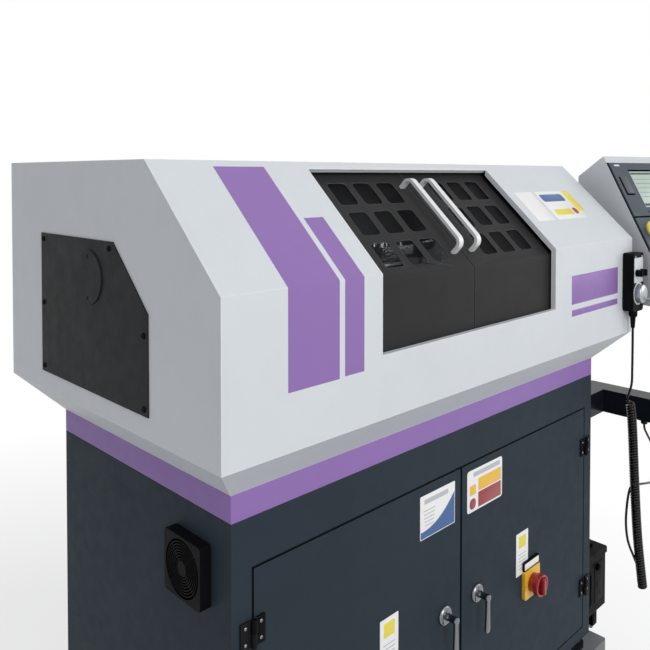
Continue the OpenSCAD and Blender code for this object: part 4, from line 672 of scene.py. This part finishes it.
bm = bmesh.new()
holed(bm, UNIT, rect(-166, 246, -101.5, 101.5), rect(-87, 87, -69.5, 69.5), 0, FACE_T)
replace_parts(piece("unit_front", bm, "bezel", "panel"), "operator_unit")
bm = bmesh.new()
holed(bm, STOP, rect(-60, 352, -70, 48), circle(10.8), 0, FACE_T)
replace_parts(piece("key_field", bm, "bezel", "panel"), "panel_keys")
bm = bmesh.new()
slab(bm, UNIT @ move(0, 0, 4.0), 173.6, 138.6, 0.8, 0.2, 1)
piece("display", bm, "lcd", "panel")
bm = bmesh.new()
for x, y, w, h in [(0, 60, 168, 7), (0, -60, 168, 9)] + [(-34, 38 - 17 * i, 92, 1.2) for i in range(5)]:
    slab(bm, UNIT @ move(x, y, 4.8), w, h, 0.12, 0.05)
piece("display_fields", bm, "bezel", "panel")
bm = bmesh.new()
for i in range(8):
    key(bm, -83.5 + 21 * i, -217.25, 15.6, 11.1, 0)
for j in range(8):
    for i in range(6):
        key(bm, 223.5 - 21 * i, -47.5 - 23 * j, 15.6, 15.6, 1 if j > 5 else 0)
piece("unit_keys", bm, ["key", "keydark"], "panel")
# Under the port cover, a dark sheet that shows along its left and lower edges: a painted shadow of the
# cover
bm = bmesh.new()
slab(bm, FACE @ move(-141.5, -119.5, FACE_T), 40, 70, 0.4, 0.1, 2, 0)
slab(bm, FACE @ move(-139, -117, FACE_T + 0.2), 34, 64, 2.2, 0.9, 2, 1)
piece("port_cover", bm, ["void", "port"], "panel")
# Painted shade: dark sheets under the screen unit and the key field that show as dark grooves round them,
# and a dark strip along the top edge of the screen's opening
bm = bmesh.new()
slab(bm, FACE @ move(30, -131.5, -0.2), 420, 211, 0.8, 0.1, 1)
slab(bm, FACE @ move(30, -298, -0.2), 420, 126, 0.8, 0.1, 1)
slab(bm, FACE @ move(-10, -59.5, 5.5), 179, 6, 0.7, 0.1, 1)
piece("panel_groove_shade", bm, "void", "panel")
bm = bmesh.new()
slab(bm, FACE @ move(-143.5, -39.5, FACE_T), 26, 6, 0.3, 0.1, 1)
piece("blank_tag", bm, "tag", "panel")
bm = bmesh.new()
for j in range(4):
    for i in range(10):
        key(bm, 218.5 - 25 * i, -262.5 - 27 * j, 19.6, 19.6, 1 if (i + j) % 5 == 4 else 0)
piece("machine_keys", bm, ["key", "keydark"], "panel")
bm = bmesh.new()
turn(bm, STOP, [(10.4, 14.2), (22, 14.3), (30, 13.6), (32.4, 11.5), (33, 6), (33, 5.9), (10.4, 5.9),
                (10.4, 14.2)], 48)
piece("stop_collar", bm, "collar", "panel")

# Pendant
DIAL_MARKS, GRIPS, NUT_RIBS = 20, 40, 12
WHEEL = PENDANT @ move(0, 56, 0)
bm = bmesh.new()
slab(bm, PENDANT @ move(0, 130, 0), 66, 78, 0.8, 0.3, 4)
piece("pendant_plate", bm, "silver", "machine")
bm = bmesh.new()
turn(bm, WHEEL, [(29.6, -0.1), (29.6, 0.6), (35.6, 0.6), (36, 0.3), (36, -0.1), (29.6, -0.1)], 64, 0)
for k in range(DIAL_MARKS):
    m = WHEEL @ rot(360 / DIAL_MARKS * k, "Z") @ move(32.8, 0, 0.6)
    slab(bm, m, 3.4 if k % 5 else 5, 0.7, 0.12, 0.04, 0, 1)
piece("wheel_dial", bm, ["silver", "ink"], "machine")
bm = bmesh.new()
turn(bm, WHEEL, [(0, 21), (18, 21), (21, 20.4), (24, 18.8), (27.4, 17.8), (29, 16), (29, 6), (27.6, 4.6),
                 (27.2, 1), (0, 1)], 56)
for k in range(GRIPS):
    slab(bm, WHEEL @ rot(360 / GRIPS * k, "Z") @ move(28.8, 0, 11) @ rot(90, "Y"), 9, 1.6, 0.5, 0.2)
turn(bm, WHEEL @ move(9, -16.5, 19.5), [(0, 20), (4.6, 20), (5.8, 18.6), (6.2, 10), (4.4, 3), (5.4, 1),
                                        (5.4, 0), (0, 0)], 28)
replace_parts(piece("handwheel", bm, "zinc", "wheel"), "pendant_wheel")
bm = bmesh.new()
for x in (-24, 24):
    screw(bm, PENDANT @ move(x, 172, 0), 3.4, 1.6)
piece("pendant_screws", bm, "zinc", "machine")
bm = bmesh.new()
m = move(775, -456.5, 1154.5) @ rot(180, "X")
turn(bm, m, [(9, 0), (12, 0), (12.4, 0.8), (12.4, 17), (11.6, 19.5), (9, 20.5), (9, 0)], 40)
for k in range(NUT_RIBS):
    slab(bm, m @ rot(360 / NUT_RIBS * k, "Z") @ move(12.2, 0, 9) @ rot(90, "Y"), 15, 2.6, 1.0, 0.4)
piece("gland_nut", bm, "plastic", "machine")

# Painted shade round the cabinet doors: dark strips along each door's front edges that darken and widen the
# gaps round it
GAP_SHADE_W, GAP_SHADE_T, GAP_SHADE_SINK = 3.0, 0.25, 0.1
DOOR_Z0, DOOR_Z1 = 127.5, 839.5
for door, x0, x1 in (("left_door", -672.5, 3.25), ("right_door", 4.75, 676.5)):
    bm = bmesh.new()
    xm, zm = (x0 + x1) / 2, (DOOR_Z0 + DOOR_Z1) / 2
    for x in (x0 + GAP_SHADE_W / 2, x1 - GAP_SHADE_W / 2):
        card(bm, CABINET, x, zm, GAP_SHADE_W, DOOR_Z1 - DOOR_Z0, 0, -GAP_SHADE_SINK, 0, GAP_SHADE_T)
    for z in (DOOR_Z0 + GAP_SHADE_W / 2, DOOR_Z1 - GAP_SHADE_W / 2):
        card(bm, CABINET, xm, z, x1 - x0, GAP_SHADE_W, 0, -GAP_SHADE_SINK, 0, GAP_SHADE_T)
    piece("edge_gap_shade_%s" % door, bm, "void", door)

# Level window, front panel, filler cap and elbow of the lubricator
bm = bmesh.new()
slab(bm, LUBRICATOR @ move(770, 200, 0), 20, 120, 1.6, 0.8, 6, 0)
slab(bm, LUBRICATOR @ move(770, 200, 1.6), 12, 108, 0.5, 0.2, 5, 1)
slab(bm, LUBRICATOR @ move(830, 210, 0), 64, 132, 1.0, 0.6, 6, 0)
turn(bm, LUBRICATOR @ move(818, 262, 1), [(0, 6), (9, 6), (11, 5), (11.6, 0), (13, -0.4)], 32, 1)
slab(bm, move(812, -309, 66), 30, 30, 44, 3, 3, 0)
turn(bm, move(812, -309, 50), [(0, 0), (7, 0), (8, 2), (8, 17), (0, 17)], 6, 2)
piece("lubricator_fittings", bm, ["tank", "void", "zinc"], "machine")

# Plate above the main switch, and the black sleeve of the switch body behind the door
SWITCH = CABINET @ move(344, 412, 0)
bm = bmesh.new()
slab(bm, SWITCH @ move(0, 53.5, 0), 83, 26, 7.3, 0.5, 2, 0)
slab(bm, SWITCH @ move(0, 53.5, 7.3), 77, 18, 0.3, 0.1, 1, 1)
turn(bm, SWITCH, [(16, -2.2), (16, -59.6), (15, -60.4), (0, -60.4)], 40)
piece("switch_strip", bm, ["plastic", "white"], "right_door")

# Latches: a rose with its lock cylinder, and a tapered lever with its cam behind the door
for x, side in ((-66, "left"), (74, "right")):
    door = side + "_door"
    m = CABINET @ move(x, 487, 0)
    bm = bmesh.new()
    turn(bm, m, [(9.6, 9), (15, 9.1), (19, 8.8), (22, 7.4), (24.1, 4), (24.2, -0.05), (9.6, -0.05),
                 (9.6, 9)], 48)
    turn(bm, m, [(8.4, -10), (8.4, 0), (11, 0), (11, -10), (8.4, -10)], 32)
    turn(bm, m @ move(0, 17.2, 8.5), [(0, 1.6), (4.2, 1.6), (5, 1.0), (5, -0.5)], 28)
    # A dark mark for the key slot: painted shade in place of the opening
    slab(bm, m @ move(0, 17.2, 10.1), 1.2, 5.4, 0.1, 0.03, 0, 1)
    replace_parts(piece("lock_rose_%s" % door, bm, ["rose", "ink"], door), side + "_latch_rose")
    bm = bmesh.new()
    turn(bm, m, [(0, -30), (6, -30), (6, 9.3), (9.4, 9.4), (9.4, 14), (8.2, 16), (8.2, 29), (9.6, 32),
                 (10, 36), (8.6, 39.6), (4, 41), (0, 41.2)], 40)
    loft(bm, m, [(6, 5, 3, 35.5), (0, 6.8, 4.6, 35.5), (-16, 6.4, 4.8, 35.3), (-50, 7.6, 5, 35),
                 (-82, 9, 5.2, 34.6), (-89, 8.4, 4.6, 34.6), (-91, 6.4, 3.2, 34.6)])
    slab(bm, m @ move(0, 19.5, -30), 18, 57, 3, 0.4, 2)
    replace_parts(piece("latch_grip_%s" % side, bm, "chrome", side + "_latch"), side + "_latch_lever")

# Main switch: a hollow round grip with a bar across it
bm = bmesh.new()
m = SWITCH @ move(0, 0, 10.3)
turn(bm, m, [(0, 0), (25, 0), (26, 1), (26, 8), (28, 12), (30.6, 16), (30.8, 30), (29.6, 32), (26.4, 32.4),
             (24.4, 31.4), (23.6, 14), (0, 12)], 56)
loft(bm, m @ move(0, 0, 25) @ rot(90, "Z") @ rot(90, "X"),
     [(-14, 24.5, 5.4, 0), (4, 25, 6, 0), (13, 25, 6.4, 0), (16, 23, 5, 0)])
turn(bm, m, [(0, -40), (6, -40), (6, 0.5), (0, 0.5)], 24)
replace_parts(piece("switch_grip", bm, "red", "main_switch"), "switch_knob")

# Devices on the electrical plate: drive fronts, contactors and terminals, slots of the cable duct
DRIVES, CONTACTORS, TERMINALS, SLOTS = 4, 6, 28, 36
bm = bmesh.new()
for i in range(DRIVES):
    m = facing(153) @ move(-462.5 + 110 * i, 0, 0)
    slab(bm, m @ move(0, 770, 0), 93, 196, 2.0, 1.2, 4, 0)
    slab(bm, m @ move(0, 842, 2), 66, 30, 1.2, 0.5, 3, 1)
    for k in range(5):
        slab(bm, m @ move(-26 + 13 * k, 805, 2), 9, 9, 1.4, 0.5, 2, 1)
    slab(bm, m @ move(0, 752, 2), 78, 40, 0.5, 0.2, 2, 2)
    for k in range(6):
        slab(bm, m @ move(-32.5 + 13 * k, 693, 2), 10, 26, 2.4, 0.5, 1, 1)
        screw(bm, m @ move(-32.5 + 13 * k, 693, 4.4), 3.2, 1.2, 3)
piece("drive_fronts", bm, ["port", "ink", "white", "zinc"], "machine")
bm = bmesh.new()
for i in range(CONTACTORS):
    for z in (864, 786):
        m = facing(237) @ move(64 + 60 * i, z, 0)
        slab(bm, m, 46, 10, 3.0, 0.6, 1, 0)
        for k in range(3):
            screw(bm, m @ move(-14 + 14 * k, 0, 3), 3.4, 1.2, 1)
for k in range(TERMINALS):
    m = facing(272) @ move(46.2 + 12.4 * k, 415, 0)
    slab(bm, m, 10.8, 46, 2.2, 0.5, 1, 2 if k % 7 else 3)
    for dz in (-16, 16):
        screw(bm, m @ move(0, dz, 2.2), 3.2, 1.2, 1)
piece("terminals", bm, ["keydark", "zinc", "key", "yellow"], "machine")
# The duct's slots are dark strips: painted shade in place of the openings
bm = bmesh.new()
for k in range(SLOTS):
    slab(bm, facing(231) @ move(-502 + 13 * k, 440, 0), 5, 76, 0.3, 0.1, 1)
piece("duct_slots", bm, "ink", "machine")

# Floor and world: both look white, and both light the machine less than they look
FLOOR_HALF, FLOOR_GREY = 14, 0.58
FADE_AT, FADE_NEAR, FADE_FAR, FADE_LOW = (-1.1, 0.3, 0), 1.2, 3.0, 0.7
AMBIENT, AMBIENT_STRENGTH = (0.93, 0.96, 1.0, 1), 0.34
WHITE = (1, 1, 1, 1)


def shade(tree, kind, op=None, **inputs):
    """Adds a node to a tree, with its inputs named with _ for a space."""
    n = tree.nodes.new(kind)
    if op:
        n.operation = op
    for k, v in inputs.items():
        n.inputs[k.replace("_", " ")].default_value = v
    return n


def looked_at(tree):
    """1 for the rays that see a backdrop, straight, through a pane or in a reflection."""
    path = shade(tree, "ShaderNodeLightPath")
    seen = path.outputs["Is Camera Ray"]
    for kind in ("Is Transmission Ray", "Is Glossy Ray"):
        most = shade(tree, "ShaderNodeMath", "MAXIMUM")
        tree.links.new(seen, most.inputs[0])
        tree.links.new(path.outputs[kind], most.inputs[1])
        seen = most.outputs[0]
    return seen


def blend(tree, kind, fac, lit, look):
    """Ends a tree in the shader that lights the machine, mixed with the one that is looked at."""
    mix = shade(tree, "ShaderNodeMixShader")
    tree.links.new(fac, mix.inputs["Fac"])
    tree.links.new(lit.outputs[0], mix.inputs[1])
    tree.links.new(look.outputs[0], mix.inputs[2])
    tree.links.new(mix.outputs[0], shade(tree, kind).inputs["Surface"])


bm = bmesh.new()
for sx, sy in ((-1, -1), (1, -1), (1, 1), (-1, 1)):
    bm.verts.new((sx * FLOOR_HALF, sy * FLOOR_HALF, 0))
bm.faces.new(bm.verts)
me = bpy.data.meshes.new("floor")
bm.to_mesh(me)
bm.free()
floor = bpy.data.objects.new("floor", me)
scene.collection.objects.link(floor)
floor_mat = bpy.data.materials.new("floor_paint")
floor_mat.use_nodes = True
me.materials.append(floor_mat)
t = floor_mat.node_tree
t.nodes.clear()
geo = shade(t, "ShaderNodeNewGeometry")
off = shade(t, "ShaderNodeVectorMath", "SUBTRACT")
off.inputs[1].default_value = FADE_AT
away = shade(t, "ShaderNodeVectorMath", "LENGTH")
fade = shade(t, "ShaderNodeMapRange", From_Min=FADE_NEAR, From_Max=FADE_FAR, To_Min=FADE_LOW, To_Max=1.0)
amount = shade(t, "ShaderNodeMath", "MULTIPLY")
t.links.new(geo.outputs["Position"], off.inputs[0])
t.links.new(off.outputs["Vector"], away.inputs[0])
t.links.new(away.outputs["Value"], fade.inputs["Value"])
t.links.new(looked_at(t), amount.inputs[0])
t.links.new(fade.outputs["Result"], amount.inputs[1])
blend(t, "ShaderNodeOutputMaterial", amount.outputs[0],
      shade(t, "ShaderNodeBsdfDiffuse", Color=(FLOOR_GREY, FLOOR_GREY, FLOOR_GREY, 1)),
      shade(t, "ShaderNodeEmission", Color=WHITE))

world = bpy.data.worlds.new("studio")
scene.world = world
world.use_nodes = True
t = world.node_tree
t.nodes.clear()
blend(t, "ShaderNodeOutputWorld", looked_at(t),
      shade(t, "ShaderNodeBackground", Color=AMBIENT, Strength=AMBIENT_STRENGTH),
      shade(t, "ShaderNodeBackground", Color=WHITE, Strength=1.0))

# Lamps: place, target and size in metres, power in watts
for name, place, target, size, power in (
        ("key", (-1.5, -4.6, 3.4), (0, 0, 1.0), 3.2, 150),
        ("left_fill", (-2.9, 0.1, 0.55), (-0.72, 0, 0.85), 1.6, 4),
        ("right_fill", (4.2, -3.6, 2.6), (0.4, 0, 0.9), 3.0, 64),
        ("top", (0.2, 0.8, 5.0), (0, 0, 1.2), 3.5, 14),
        ("back", (0.5, 4.6, 3.0), (0, 0, 1.0), 3.0, 60)):
    light = bpy.data.lights.new(name, "AREA")
    light.energy = power
    light.size = size
    ob = bpy.data.objects.new(name, light)
    scene.collection.objects.link(ob)
    ob.location = place
    ob.rotation_euler = (V(target) - V(place)).to_track_quat("-Z", "Y").to_euler()

scene.view_settings.view_transform = "Standard"
